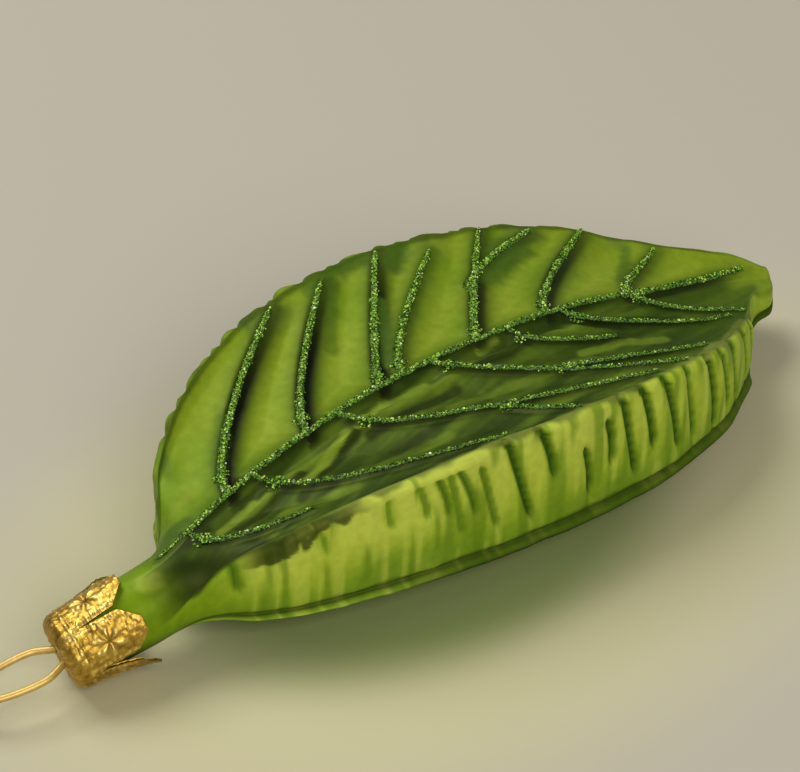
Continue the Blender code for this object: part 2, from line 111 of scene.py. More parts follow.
# Cuts in the near wall: x at the top and the bottom, distances below the rim, depth
NEAR_CUTS = ((5, 5.6, -0.6, 5.5, 0.45), (14, 14.8, 0.8, 6, 0.12), (22.2, 22.8, 1, 6.5, 0.18),
             (25.6, 26.8, 0.6, 7, 0.25), (28.1, 29.7, 0.8, 8, 0.4), (29.6, 31.5, 0.6, 11.5, 0.3),
             (30.6, 33.3, 0.6, 9.5, 0.42), (33.8, 36.3, 1.6, 12.8, 0.36),
             (37.4, 41.2, -0.9, 13.4, 0.62), (41.8, 43.9, -0.4, 8.3, 0.66),
             (47.3, 48.3, 4.3, 5.6, 0.45), (48.3, 49.7, 5, 13.5, 0.62),
             (51.9, 52.5, 2.4, 10.2, 0.58), (53.6, 56.9, -1.5, 13, 0.66),
             (56.8, 59.5, -1.5, 10.2, 0.66), (60.4, 64.2, -1.8, 12, 0.62),
             (65.2, 67.5, -1, 12, 0.46), (69.3, 72, -1.8, 12.2, 0.6),
             (71.8, 75.3, -1.4, 10.5, 0.44), (75.2, 78.3, -1.6, 10, 0.5),
             (79.4, 82.3, -1.2, 9, 0.44), (83.4, 85.6, -0.6, 8, 0.34))
FAR_CUT_PITCH = 3.6
FAR_CUT_WIDENING = 1.9
CUT_WIDTH = 0.42
CUT_DEEPENING = 1.2
CUT_BEND = 0.35
CUT_IN_FACE = 0.6
RIB_BULGE = 0.26
FLUTE_START = (-1.0, 6.0)
FLUTE_END = (90.0, 97.0)
# Swells between the cuts: height, grain along and down the wall, seed
WALL_SWELLS = ((0.22, 0.22, 0.05, 12), (0.16, 0.62, 0.06, 15))
# Cuts in the hidden far wall, in the order of NEAR_CUTS
FAR_CUTS = []
for k in range(2, 24):
    x = k * FAR_CUT_PITCH + 1.2 * math.sin(2.3 * k)
    FAR_CUTS.append((x, x + 1.6, -0.4, 8.0 + 4.0 * math.sin(1.7 * k) ** 2,
                     0.52 + 0.2 * math.sin(3.1 * k)))

# Neck
NECK_RADIUS = 4.4
MOUTH_RADIUS = 4.0
NECK_MOUTH = -13.1
NECK_CONE_END = -4.0
NECK_SIDE = -2.5
NECK_HEIGHT = 8.45
NECK_SLOPE = 0.25
NECK_TURN = -0.17
NECK_BLEND = (-3.5, 8.0)
GLASS_WALL = 0.9
MOUTH_ROUNDING = 0.45

# Rings that close the tip and line the mouth: share of the last section, distance along
TIP_RINGS = ((0.93, 0.35), (0.8, 0.65), (0.6, 0.85), (0.3, 0.97))
INNER_SHARE = 1.0 - GLASS_WALL / MOUTH_RADIUS
MOUTH_RINGS = ((INNER_SHARE, 8.0), (INNER_SHARE, -0.35),
               (1 - 0.5 * MOUTH_ROUNDING / MOUTH_RADIUS, -0.3))

# Veins that leave the midrib: name, side, x at the midrib, x and half-width share at the end, hook
VEINS = (("far_1", 1, 11, 33.5, 0.9, 0.7), ("far_2", 1, 24, 42, 0.88, 0.76),
         ("far_3", 1, 35.5, 51.5, 0.92, 0.92), ("far_4", 1, 39, 58, 0.82, 0.76),
         ("far_5", 1, 50.5, 67, 0.93, 0.9), ("far_6", 1, 61.5, 81, 0.95, 0.72),
         ("far_7", 1, 75, 87, 0.9, 0.62), ("far_8", 1, 75, 96.5, 0.62, 1.00),
         ("near_1", -1, 4, 16, 0.7, 0.5), ("near_2", -1, 15, 38.5, 0.92, 0.7),
         ("near_3", -1, 28.5, 62, 0.9, 0.68), ("near_4", -1, 43, 67, 0.93, 0.9),
         ("near_5", -1, 55, 66, 0.38, 0.5), ("near_6", -1, 63.5, 84, 0.68, 0.56),
         ("near_7", -1, 75, 88, 0.62, 0.67))
# Branches: name, side, vein they leave, share along it, x and half-width share at the end, hook
BRANCHES = (("far_5b", 1, "far_5", 0.4, 73.5, 0.88, 0.5),
            ("near_3b", -1, "near_3", 0.45, 49, 0.93, 0.8),
            ("near_4b", -1, "near_4", 0.46, 73, 0.86, 1.00))
MIDRIB_ENDS = (-0.5, 75.0)

# Glitter: width of the glue line by kind of vein, its height, and the flakes
GLUE_WIDTH = {"far": 1.15, "near": 0.64, "midrib": 0.76}
GLUE_HEIGHT = 0.3
GLUE_SUNK = 0.12
GLUE_STEP = 0.3
GLUE_COLUMNS = 7
FLAKES_PER_MM2 = 34.0
FLAKE_RADIUS = (0.085, 0.165)
FLAKE_TILT = 0.75
BLOB_RADIUS = 1.25
BLOB_AREA = 1.6
WIDTH_SEED = 60
BEAD_SEED = 90

# Crown cap
CAP_TABS = 5
CAP_SHEET = 0.35
CAP_GAP = 0.3
CAP_ROUNDING = 1.1
CAP_BAND = 2.2
CAP_LENGTH = 9.4
CAP_SHOULDER = 7.3
CAP_CORNER = 0.3
CAP_CROWN = 0.05
CAP_FLARES = (0.05, 0.15, 1.0, 0.5, 0.4)
CAP_SLIT = 0.1
CAP_TURN = math.radians(41.0)
CAP_THINNING = 0.05
# Stamped pattern: (height, middle, width) of each raised line, in millimetres from the cap's end
# or in shares of a tab's half width; pebbles as height, level, size and seed
PEBBLES = ((0.17, 0.55, 0.72, 71), (0.05, 0.5, 0.34, 75))
BEAD_PITCH = 0.62
TAB_EDGE = (0.13, 0.86, 0.1)
BAND_BEADS = (0.1, 1.7, 0.22)
STAR_PLACE = 5.0
STAR_RAYS = (0.2, 1.05, 0.65)
STAR_HEART = (0.08, 0.0, 0.35)
# Shares of the cap's profile where the disc, the corner and the band end
DISC_SHARE = 0.2
CORNER_SHARE = 0.32
BAND_SHARE = 0.42

# Wire hanger
WIRE_RADIUS = 0.38
WIRE_COAT = 0.05
HOLE_OFFSET = 1.05
LOOP_LENGTH = 11.5
LOOP_HALF_WIDTH = 1.95
LOOP_OPENING = (-2.0, 3.0)
LOOP_RISE = 0.13
LEG_LENGTH = 7.5
LEG_STRAIGHT = 1.2
LEG_CLEARANCE = 0.3

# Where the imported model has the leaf's zero, in millimetres
LEAF_SHIFT = (-37.94, -2.33, 0.0)

# Mesh fineness
FACE_COLUMNS = 72
CORNER_COLUMNS = 8
WALL_COLUMNS = 32
LIP_COLUMNS = 8
BACK_COLUMNS = 9
LEAF_STATIONS = 300
NECK_STATIONS = 34
CAP_ROWS = 150
CAP_COLUMNS = 56
WIRE_SIDES = 16
LOOP_STEPS = 60
LEG_STEPS = 24
# Angles round the neck, in degrees, where a half section's five runs of columns begin and end
RUN_TURNS = (0.0, 81.0, 99.0, 135.0, 153.0, 180.0)

# The photograph's viewpoint, in its own axes: right, away, up
IMAGE_WIDTH = 800
FOCAL_PIXELS = 2430.58
SENSOR_MM = 36.0
VIEW_DISTANCE = 322.15
VIEW_ELEVATION = math.radians(36.177)
LEAF_AZIMUTH = math.radians(40.035)
LEAF_IN_VIEW = (-27.889, -48.084, 0.0)
VIEW_RAISE = 1.0

# Looks: depth of the fine bumps in metres, the near face's painted highlight along a crest beside
# the midrib, and where the wall's pale paint and the lip's dark outline (partly dark paint, partly
# painted shadow) end
BUMP_DEPTH = 0.0002
CREST_HIGHLIGHT = (1.0, 3.6, 0.55)
WALL_FADE = (74.0, 92.0)
LIP_END = (1.05, 1.4)

# Where the painted shadow and the painted green cast of light from the leaf are centred on the
# paper, and how far they reach each way, in metres
PAINTED_CAST_CENTRE = (0.0, -0.008, 0.0)
PAINTED_CAST_REACH = (0.085, 0.052, 1.0)

# Painted shade on the side of each vein away from the light: how wide each kind's dark core and
# soft halo are, and along which part of the vein they fade
SHADE_REACH = {"far": (2.0, 3.4), "near": (1.0, 2.2), "midrib": (1.0, 2.2)}
SHADE_FADE = {"far": (0.45, 1.25), "near": (0.6, 1.3), "midrib": (0.9, 1.1)}
SHADE_DEPTH = {"far": 1.0, "near": 0.75, "midrib": 0.5}
VEIN_SHADE = {"far_4": 0.3, "far_5": 0.75, "far_5b": 0.6, "far_6": 0.75, "far_7": 0.3,
              "far_8": 0.8}

# Patches on the face: x and y of both ends of each, its reach and its strength. The dark patches
# are partly dark paint and partly painted shade; the neck's glint and the near fold patches are
# painted highlights.
FAR_PAINT_AND_SHADE = ((44.3, 24, 49.3, 23.4, 2.4, 0.85), (56.1, 23.8, 52.3, 20.1, 1.9, 0.9),
              (46, 15.4, 39.6, 5.6, 1.5, 0.85), (68.2, 16.4, 62.5, 12.6, 3, 0.75),
              (70.1, 14.7, 65, 13.9, 2.2, 0.75), (43.7, 21.7, 36, 12.9, 1.3, 0.6),
              (18, 11.1, 13, 5.1, 1.4, 0.45), (40.7, 24.2, 39.8, 21.2, 1.8, 0.6),
              (84, 9.6, 77, 3.2, 1.2, 0.7), (-3, 1.2, 5, 1, 1.6, 0.8))
NECK_GLINT = (-3.6, -3.0, -2.4, -3.4, 1.4, 0.45)
NEAR_PAINT_AND_SHADE = ((-3, -3.5, 8, -9, 3, 0.8), (0, -1.6, 6, -1.4, 1.4, 0.8),
               (10, -11.5, 22, -15.5, 1.6, 0.7), (24, -13, 36, -16.5, 1, 0.5),
               (9, -4.4, 19.7, -2.2, 0.9, 0.8), (17.2, -5.2, 28.6, -1.2, 1.1, 0.85),
               (29.9, -2.4, 42.9, -2.9, 1.2, 0.85), (47.9, -1.6, 55.3, -1.7, 1, 0.85),
               (63.2, -0.6, 68.4, -5, 1.3, 0.85), (66, -3, 78, -6, 1.2, 0.7),
               (2, -9, 14, -13.5, 2.6, 0.9), (30, -6.5, 44, -7.5, 1, 0.5))
NEAR_FOLD_HIGHLIGHTS = ((29.6, -0.4, 34.7, 0.6, 0.9, 0.8), (34.5, 0.4, 40.2, 0, 0.8, 0.6),
              (18.9, -3.7, 28.1, -0.1, 0.8, 0.65), (7, -3.2, 13, -1.7, 0.8, 0.6),
              (49.8, 0.5, 52.7, 1, 0.7, 0.6), (24, -8, 36, -9.5, 1.4, 0.25),
              (40, -5.5, 60, -9, 1.2, 0.25), (46, -13.5, 62, -15.5, 1.6, 0.3),
              (60, -7, 72, -9.5, 1, 0.4), (14, -6, 22, -9, 1.2, 0.35))


def srgb(*channels):
    """A linear colour from 0-255 display values."""
    share = [c / 255.0 for c in channels]
    return tuple(c / 12.92 if c <= 0.04045 else ((c + 0.055) / 1.055) ** 2.4 for c in share)


def smooth(x, knots):
    """A smooth curve through (position, value) knots, for an array of positions."""
    at = np.array([knot[0] for knot in knots], float)
    value = np.array([knot[1] for knot in knots], float)
    slope = np.gradient(value, at)
    x = np.clip(np.asarray(x, float), at[0], at[-1])
    i = np.clip(np.searchsorted(at, x) - 1, 0, len(at) - 2)
    span = at[i + 1] - at[i]
    t = (x - at[i]) / span
    rise = value[i] * (2 * t**3 - 3 * t**2 + 1) + value[i + 1] * (3 * t**2 - 2 * t**3)
    return rise + span * (slope[i] * (t**3 - 2 * t**2 + t) + slope[i + 1] * (t**3 - t**2))


def ease(value, low, high):
    """A smooth step from 0 at low to 1 at high."""
    t = np.clip((np.asarray(value, float) - low) / (high - low), 0.0, 1.0)
    return t * t * (3.0 - 2.0 * t)


def fall(value, low, high):
    """A smooth step from 1 at low to 0 at high."""
    return 1.0 - ease(value, low, high)


def stretch(value, rise, drop):
    """A smooth rise from 0 to 1 over one range of values, and a fall back to 0 over another."""
    return ease(value, *rise) * fall(value, *drop)


def unit(vectors):
    """The vectors of each row, made one long."""
    return vectors / np.linalg.norm(vectors, axis=1)[:, None]


def lattice(ix, iy, seed):
    """A fixed pseudo-random value from 0 to 1 for each whole-number point."""
    mixed = (ix * 374761393 + iy * 668265263 + seed * 1274126177) & 0xFFFFFFFF
    mixed = ((mixed ^ (mixed >> 13)) * 1103515245) & 0xFFFFFFFF
    return ((mixed ^ (mixed >> 16)) & 0xFFFF) / 65535.0


def noise(x, y, seed):
    """Smooth value noise from -1 to 1 with a grain of one unit."""
    x = np.asarray(x, float)
    y = np.asarray(y, float) + np.zeros_like(x)
    ix = np.floor(x).astype(np.int64)
    iy = np.floor(y).astype(np.int64)
    u = ease(x - ix, 0, 1)
    v = ease(y - iy, 0, 1)
    low = lattice(ix, iy, seed) * (1 - u) + lattice(ix + 1, iy, seed) * u
    high = lattice(ix, iy + 1, seed) * (1 - u) + lattice(ix + 1, iy + 1, seed) * u
    return 2.0 * (low * (1 - v) + high * v) - 1.0


def rough_noise(x, y, seed):
    """Layered noise from about -1 to 1."""
    return sum(noise(x * scale, y * scale, seed + octave) / scale
               for octave, scale in enumerate((1.0, 2.0, 4.0))) / 1.6


def hill(value, shape):
    """A bump of (height, middle, width)."""
    height, middle, width = shape
    return height * np.exp(-((value - middle) / width) ** 2)


def neck_centre(x):
    """Centre line of the neck, which drops and turns a little towards the cap."""
    return np.array([x, NECK_SIDE + NECK_TURN * x, NECK_HEIGHT + NECK_SLOPE * x])


def neck_axes():
    """Unit vectors of the neck: along it towards the leaf, across it, and up."""
    axis = Vector((1.0, NECK_TURN, NECK_SLOPE)).normalized()
    across = Vector((0.0, 1.0, 0.0))
    across = (across - axis * across.dot(axis)).normalized()
    return axis, across, axis.cross(across)


def neck_radius(x):
    """Outer radius of the neck, which narrows under the cap."""
    share = np.clip((x - NECK_MOUTH) / (NECK_CONE_END - NECK_MOUTH), 0.0, 1.0)
    return MOUTH_RADIUS + (NECK_RADIUS - MOUTH_RADIUS) * share


def slant(station):
    """How far a section near the tip leans forward for each millimetre across."""
    return TIP_SLANT * ease(station, *TIP_SLANT_RANGE)


def station_of(points):
    """The station whose leaning section passes through each plan point."""
    x, y = points.T
    station = x.copy()
    for _ in range(14):
        aim = x - slant(station) * (y - smooth(station, MIDLINE))
        station = 0.5 * (station + aim)
    return station


def half_width(x, offset):
    """Half width of the leaf on the side that the offset from the midline points to."""
    return np.where(offset > 0.0, smooth(x, FAR_WIDTH), smooth(x, NEAR_WIDTH))


def vein_curve(start, end, hook, steps=16):
    """Plan points of a vein that leaves its start steeply and bends on towards the tip."""
    t = np.linspace(0.0, 1.0, steps)[:, None]
    run = np.hstack([t, t**hook])
    return np.array(start) + run * (np.array(end) - np.array(start))


def vein_curves():
    """Every vein and branch by name, as plan points, the midrib first."""
    def spot(side, x, share):
        return x, float(smooth(x, MIDLINE) + side * share * smooth(x, HALF_WIDTH[side]))

    x = np.linspace(*MIDRIB_ENDS, 40)
    curves = {"midrib": np.stack([x, smooth(x, MIDLINE)], 1)}
    for name, side, x0, x1, share, hook in VEINS:
        curves[name] = vein_curve(spot(side, x0, 0.0), spot(side, x1, share), hook)
    for name, side, parent, along, x1, share, hook in BRANCHES:
        start = curves[parent][round(along * (len(curves[parent]) - 1))]
        curves[name] = vein_curve(start, spot(side, x1, share), hook)
    return curves


def vein_fields(points):
    """For plan points: distance to the nearest vein, depth of the painted shade beside it and of
    its soft halo, and its groove.
    """
    nearest = np.full(len(points), 1e3)
    shade, shade_halo, groove = np.zeros((3, len(points)))
    for name, curve in VEIN_LINES.items():
        kind = name.split("_")[0]
        pieces = np.hypot(*np.diff(curve, axis=0).T)
        length = np.concatenate([[0.0], np.cumsum(pieces)])
        away = np.full(len(points), 1e3)
        shaded_side, run = np.zeros((2, len(points)))
        for k, (a, b) in enumerate(zip(curve[:-1], curve[1:])):
            along = (b - a) / pieces[k]
            rel = points - a
            t = np.clip(rel @ along, 0.0, pieces[k])
            distance = np.hypot(*(rel - t[:, None] * along).T)
            closer = distance < away
            away = np.where(closer, distance, away)
            cross = along[1] * rel[:, 0] - along[0] * rel[:, 1]
            shaded_side = np.where(closer, cross, shaded_side)
            run = np.where(closer, (length[k] + t) / length[-1], run)
        nearest = np.minimum(nearest, away)
        hidden = np.where(shaded_side > 0.0, away, LIT_SIDE * away)
        fading = fall(run, *SHADE_FADE[kind])
        core, soft = SHADE_REACH[kind]
        depth = SHADE_DEPTH[kind] * VEIN_SHADE.get(name, 1.0)
        shade = np.maximum(shade, depth * fall(hidden, 0.55 * core, core) * fading)
        shade_halo = np.maximum(shade_halo, depth * fall(hidden, 0.5 * core, soft) * (0.35 + 0.65 * fading))
        groove = np.maximum(groove, hill(hidden, SHADE_GROOVE) * (0.3 + 0.7 * fading))
    return nearest, shade, shade_halo, groove


def face_relief(points, fields=None):
    """Ridges along the veins, with hollows and folds between, fading at the rim and the base."""
    distance, _, _, groove = vein_fields(points) if fields is None else fields
    x, y = points.T
    offset = y - smooth(x, MIDLINE)
    inside = fall(np.abs(offset) / half_width(x, offset), *RELIEF_RIM)
    ridge = RIDGE_HEIGHT * np.exp(-(distance / RIDGE_WIDTH) ** 2)
    hollow = PANEL_HOLLOW * (1 - np.exp(-(distance / PANEL_REACH) ** 2))
    fold = (hill(-offset, FOLD_CREST) - hill(-offset, FOLD_TROUGH)) * ease(distance, 0.8, 2)
    ripple = 0.07 * noise(x * 0.45, y * 0.45, 5) + 0.03 * noise(x * 1.1, y * 1.1, 6)
    relief = ridge - hollow - groove + fold * stretch(x, FOLD_START, FOLD_END) + ripple
    return relief * inside * stretch(x, RELIEF_START, RELIEF_END)


def wall_cuts(x, side, below):
    """Depth of the wall's cuts and distance to the nearest, at distances below the rim."""
    x, below = np.broadcast_arrays(x, below)
    depth = np.zeros(x.shape)
    nearest = np.full(x.shape, 9.0)
    for top_x, low_x, top, low, deep in NEAR_CUTS if side < 0 else FAR_CUTS:
        share = np.clip((below - top) / (low - top), 0.0, 1.0)
        bend = CUT_BEND * np.sin(math.pi * share) * math.sin(5.0 * top_x)
        away = np.abs(x - top_x - (low_x - top_x) * share**0.8 - bend)
        live = stretch(below, (top - 1.2, top + 1.0), (low - 2.5, low + 1.5))
        width = CUT_WIDTH * (0.7 + 0.5 * deep) * (FAR_CUT_WIDENING if side > 0 else 1.0)
        depth = np.maximum(depth, CUT_DEEPENING * deep * np.exp(-(away / width) ** 2) * live)
        nearest = np.minimum(nearest, away + 4.0 * (1 - live))
    return depth, nearest


def flute(x, side, below):
    """How far the wall stands out: broad uneven ribs between narrow cuts."""
    depth, nearest = wall_cuts(x, side, below)
    ribs = RIB_BULGE * (ease(nearest, 0.2, 2.2) - 0.5) * (1 - 0.6 * ease(below, 2, 12))
    swell = sum(height * noise(x * along, below * down, seed + side)
                for height, along, down, seed in WALL_SWELLS)
    return (ribs + swell - depth) * stretch(x, FLUTE_START, FLUTE_END)


def back_height(x):
    """Height of the back's middle: flat on the table, rising to the neck and the tip."""
    return sum(rise * ease(x, low, high) for rise, low, high in BACK_RISES)


def column_share(count, closed=False):
    """Even shares from 0 to 1 for a run of columns, the last one left to the next run."""
    return np.linspace(0.0, 1.0, count, endpoint=closed)


def corner_radius(width):
    """Radius of the rounded rim, smaller where the leaf is narrow."""
    return np.minimum(RIM_RADIUS, 0.4 * width)


def face_sag(x, t, depth):
    """How far the face sags; t runs from the midrib to the rim."""
    return depth * 4.0 * t * (1 - t) * stretch(x, SAG_START, SAG_END)


def half_sections(x, side):
    """One half of the leaf's sections at the stations x: y and z of each column."""
    x = x[:, None]
    width = smooth(x, HALF_WIDTH[side])
    top = smooth(x, MIDRIB_HEIGHT)
    rim = smooth(x, RIM_HEIGHT)
    back = back_height(x)
    seam = np.maximum(SEAM_HEIGHT + SEAM_WANDER * noise(x * 0.16, side * 3.0, 21), back + TIP_SEAM)
    seam = np.minimum(seam, 0.5 * (rim + back))
    edge = back + (seam - back) * BACK_EDGE_HEIGHT / SEAM_HEIGHT
    radius = corner_radius(width)

    t = column_share(FACE_COLUMNS)
    face_y = t * (width - radius)
    notch = CUT_IN_FACE * wall_cuts(x, side, face_y - width)[0]
    face_z = top + (rim - top) * t**2 - face_sag(x, t, FACE_SAG[side]) - notch

    turn = 0.5 * math.pi * column_share(CORNER_COLUMNS)
    ribs = flute(x, side, 0.0)
    corner_y = width - radius + (radius + ribs) * np.sin(turn)
    corner_z = rim - radius + radius * np.cos(turn) + 0.5 * ribs * np.sin(2.0 * turn)

    t = column_share(WALL_COLUMNS)
    wall_z = rim - radius + (seam - rim + radius) * t
    groove = hill(wall_z, (SEAM_GROOVE, seam, SEAM_WIDTH))
    wall_y = width + WALL_BULGE * np.sin(math.pi * t) + flute(x, side, rim - wall_z) - groove

    t = column_share(LIP_COLUMNS)
    out = np.where(t < 0.5, (LIP_OUT + SEAM_GROOVE) * np.sin(math.pi * t) - SEAM_GROOVE,
                   LIP_OUT * np.sin(math.pi * t))
    lip_y = width + out + 0.08 * noise(x * 0.5, side * 5.0, 23)
    lip_z = seam + (edge - seam) * t

    t = 1.0 - column_share(BACK_COLUMNS, closed=True)
    rise = ease(t, BACK_FLAT, BACK_ROUND) / ease(1, BACK_FLAT, BACK_ROUND)
    back_y = width * t
    back_z = back + (edge - back) * rise

    y = np.hstack([face_y, corner_y, wall_y, lip_y, back_y])
    z = np.hstack([face_z, corner_z, wall_z, lip_z, back_z])
    return smooth(x, MIDLINE) + side * y, z


def column_marks():
    """For each column of a half section: its neck angle, face share, wall share and lower share."""
    runs = (FACE_COLUMNS, CORNER_COLUMNS, WALL_COLUMNS, LIP_COLUMNS, BACK_COLUMNS)
    share = [column_share(count, closed=count is runs[-1]) for count in runs]
    none, one = [np.zeros(count) for count in runs], [np.ones(count) for count in runs]
    turn = [low + (high - low) * part for low, high, part in zip(RUN_TURNS, RUN_TURNS[1:], share)]
    face = share[:1] + one[1:]
    wall = [-one[0], share[1] - 1.0, share[2]] + one[3:]
    low = none[:3] + [share[3], 1.0 + share[4]]
    return np.radians(np.concatenate(turn)), *map(np.concatenate, (face, wall, low))


def around(far, near):
    """Joins the columns of a far and a near half into one closed ring."""
    return np.concatenate([far, near[..., -2:0:-1]], axis=-1)


def leaf_grid():
    """Stations by columns of outer surface points, and the marks of each point."""
    neck_x = np.linspace(NECK_MOUTH + MOUTH_ROUNDING, 0.0, NECK_STATIONS, endpoint=False)
    x = np.concatenate([neck_x, np.linspace(0.0, LEAF_LENGTH, LEAF_STATIONS)])
    blade_x = np.maximum(x, 0.0)
    leaf_y, leaf_z = map(around, half_sections(blade_x, 1), half_sections(blade_x, -1))
    angle, face, wall, low = column_marks()
    leaf_x = x[:, None] + slant(x)[:, None] * (leaf_y - smooth(x, MIDLINE)[:, None])
    flat = np.stack([leaf_x, leaf_y, leaf_z], axis=-1)
    turn = around(angle, -angle)
    _, across, up = neck_axes()
    spokes = np.sin(turn)[:, None] * np.array(across) + np.cos(turn)[:, None] * np.array(up)
    neck = neck_centre(x).T[:, None, :] + neck_radius(x)[:, None, None] * spokes[None]
    grid = neck + ease(x, *NECK_BLEND)[:, None, None] * (flat - neck)
    marks = {"side": np.where(np.arange(grid.shape[1]) < len(angle), 1.0, -1.0),
             "face": around(face, face), "wall": around(wall, wall), "low": around(low, low),
             "station": x[:, None]}
    return grid, marks


def face_height(points):
    """Height of the leaf's face over plan points, relief included."""
    x = station_of(points)
    y = points[:, 1]
    offset = y - smooth(x, MIDLINE)
    width = half_width(x, offset)
    t = np.clip(np.abs(offset) / (width - corner_radius(width)), 0.0, 1.0)
    sag = face_sag(x, t, np.where(offset > 0.0, FACE_SAG[1], FACE_SAG[-1]))
    top = smooth(x, MIDRIB_HEIGHT)
    leaf = top + (smooth(x, RIM_HEIGHT) - top) * t**2 - sag
    centre = neck_centre(x)
    round_neck = centre[2] + np.sqrt(np.maximum(NECK_RADIUS**2 - (y - centre[1]) ** 2, 0.0))
    blend = ease(x, *NECK_BLEND)
    return (1 - blend) * round_neck + blend * leaf + face_relief(points)


def face_normal(points, step=0.25):
    """Unit normals of the face over plan points."""
    dx = np.array([step, 0.0])
    dy = np.array([0.0, step])
    fall_x = (face_height(points - dx) - face_height(points + dx)) / (2.0 * step)
    fall_y = (face_height(points - dy) - face_height(points + dy)) / (2.0 * step)
    return unit(np.stack([fall_x, fall_y, np.ones(len(points))], axis=1))


def mix(first, second, share):
    """Blend of two colours, or colour arrays, by an array of shares."""
    share = np.asarray(share)[..., None]
    return np.asarray(first) * (1 - share) + np.asarray(second) * share


def layered(colour, *layers):
    """A colour with each (colour, share) layer blended over it in turn."""
    for over, share in layers:
        colour = mix(colour, over, share)
    return colour


def smear(x, y, patch):
    """Share of a soft painted patch along a line: x and y of both ends, reach and strength."""
    x0, y0, x1, y1, reach, strength = patch
    dx, dy = x1 - x0, y1 - y0
    t = np.clip(((x - x0) * dx + (y - y0) * dy) / (dx * dx + dy * dy), 0.0, 1.0)
    away = np.hypot(x - x0 - t * dx, y - y0 - t * dy)
    away = away * (1 + 0.35 * rough_noise(x * 0.6, y * 0.6, 59))
    return strength * fall(away, 0.35 * reach, reach)


def smears(x, y, colour, patches):
    """A layer of one colour for each painted patch."""
    return [(colour, smear(x, y, patch)) for patch in patches]


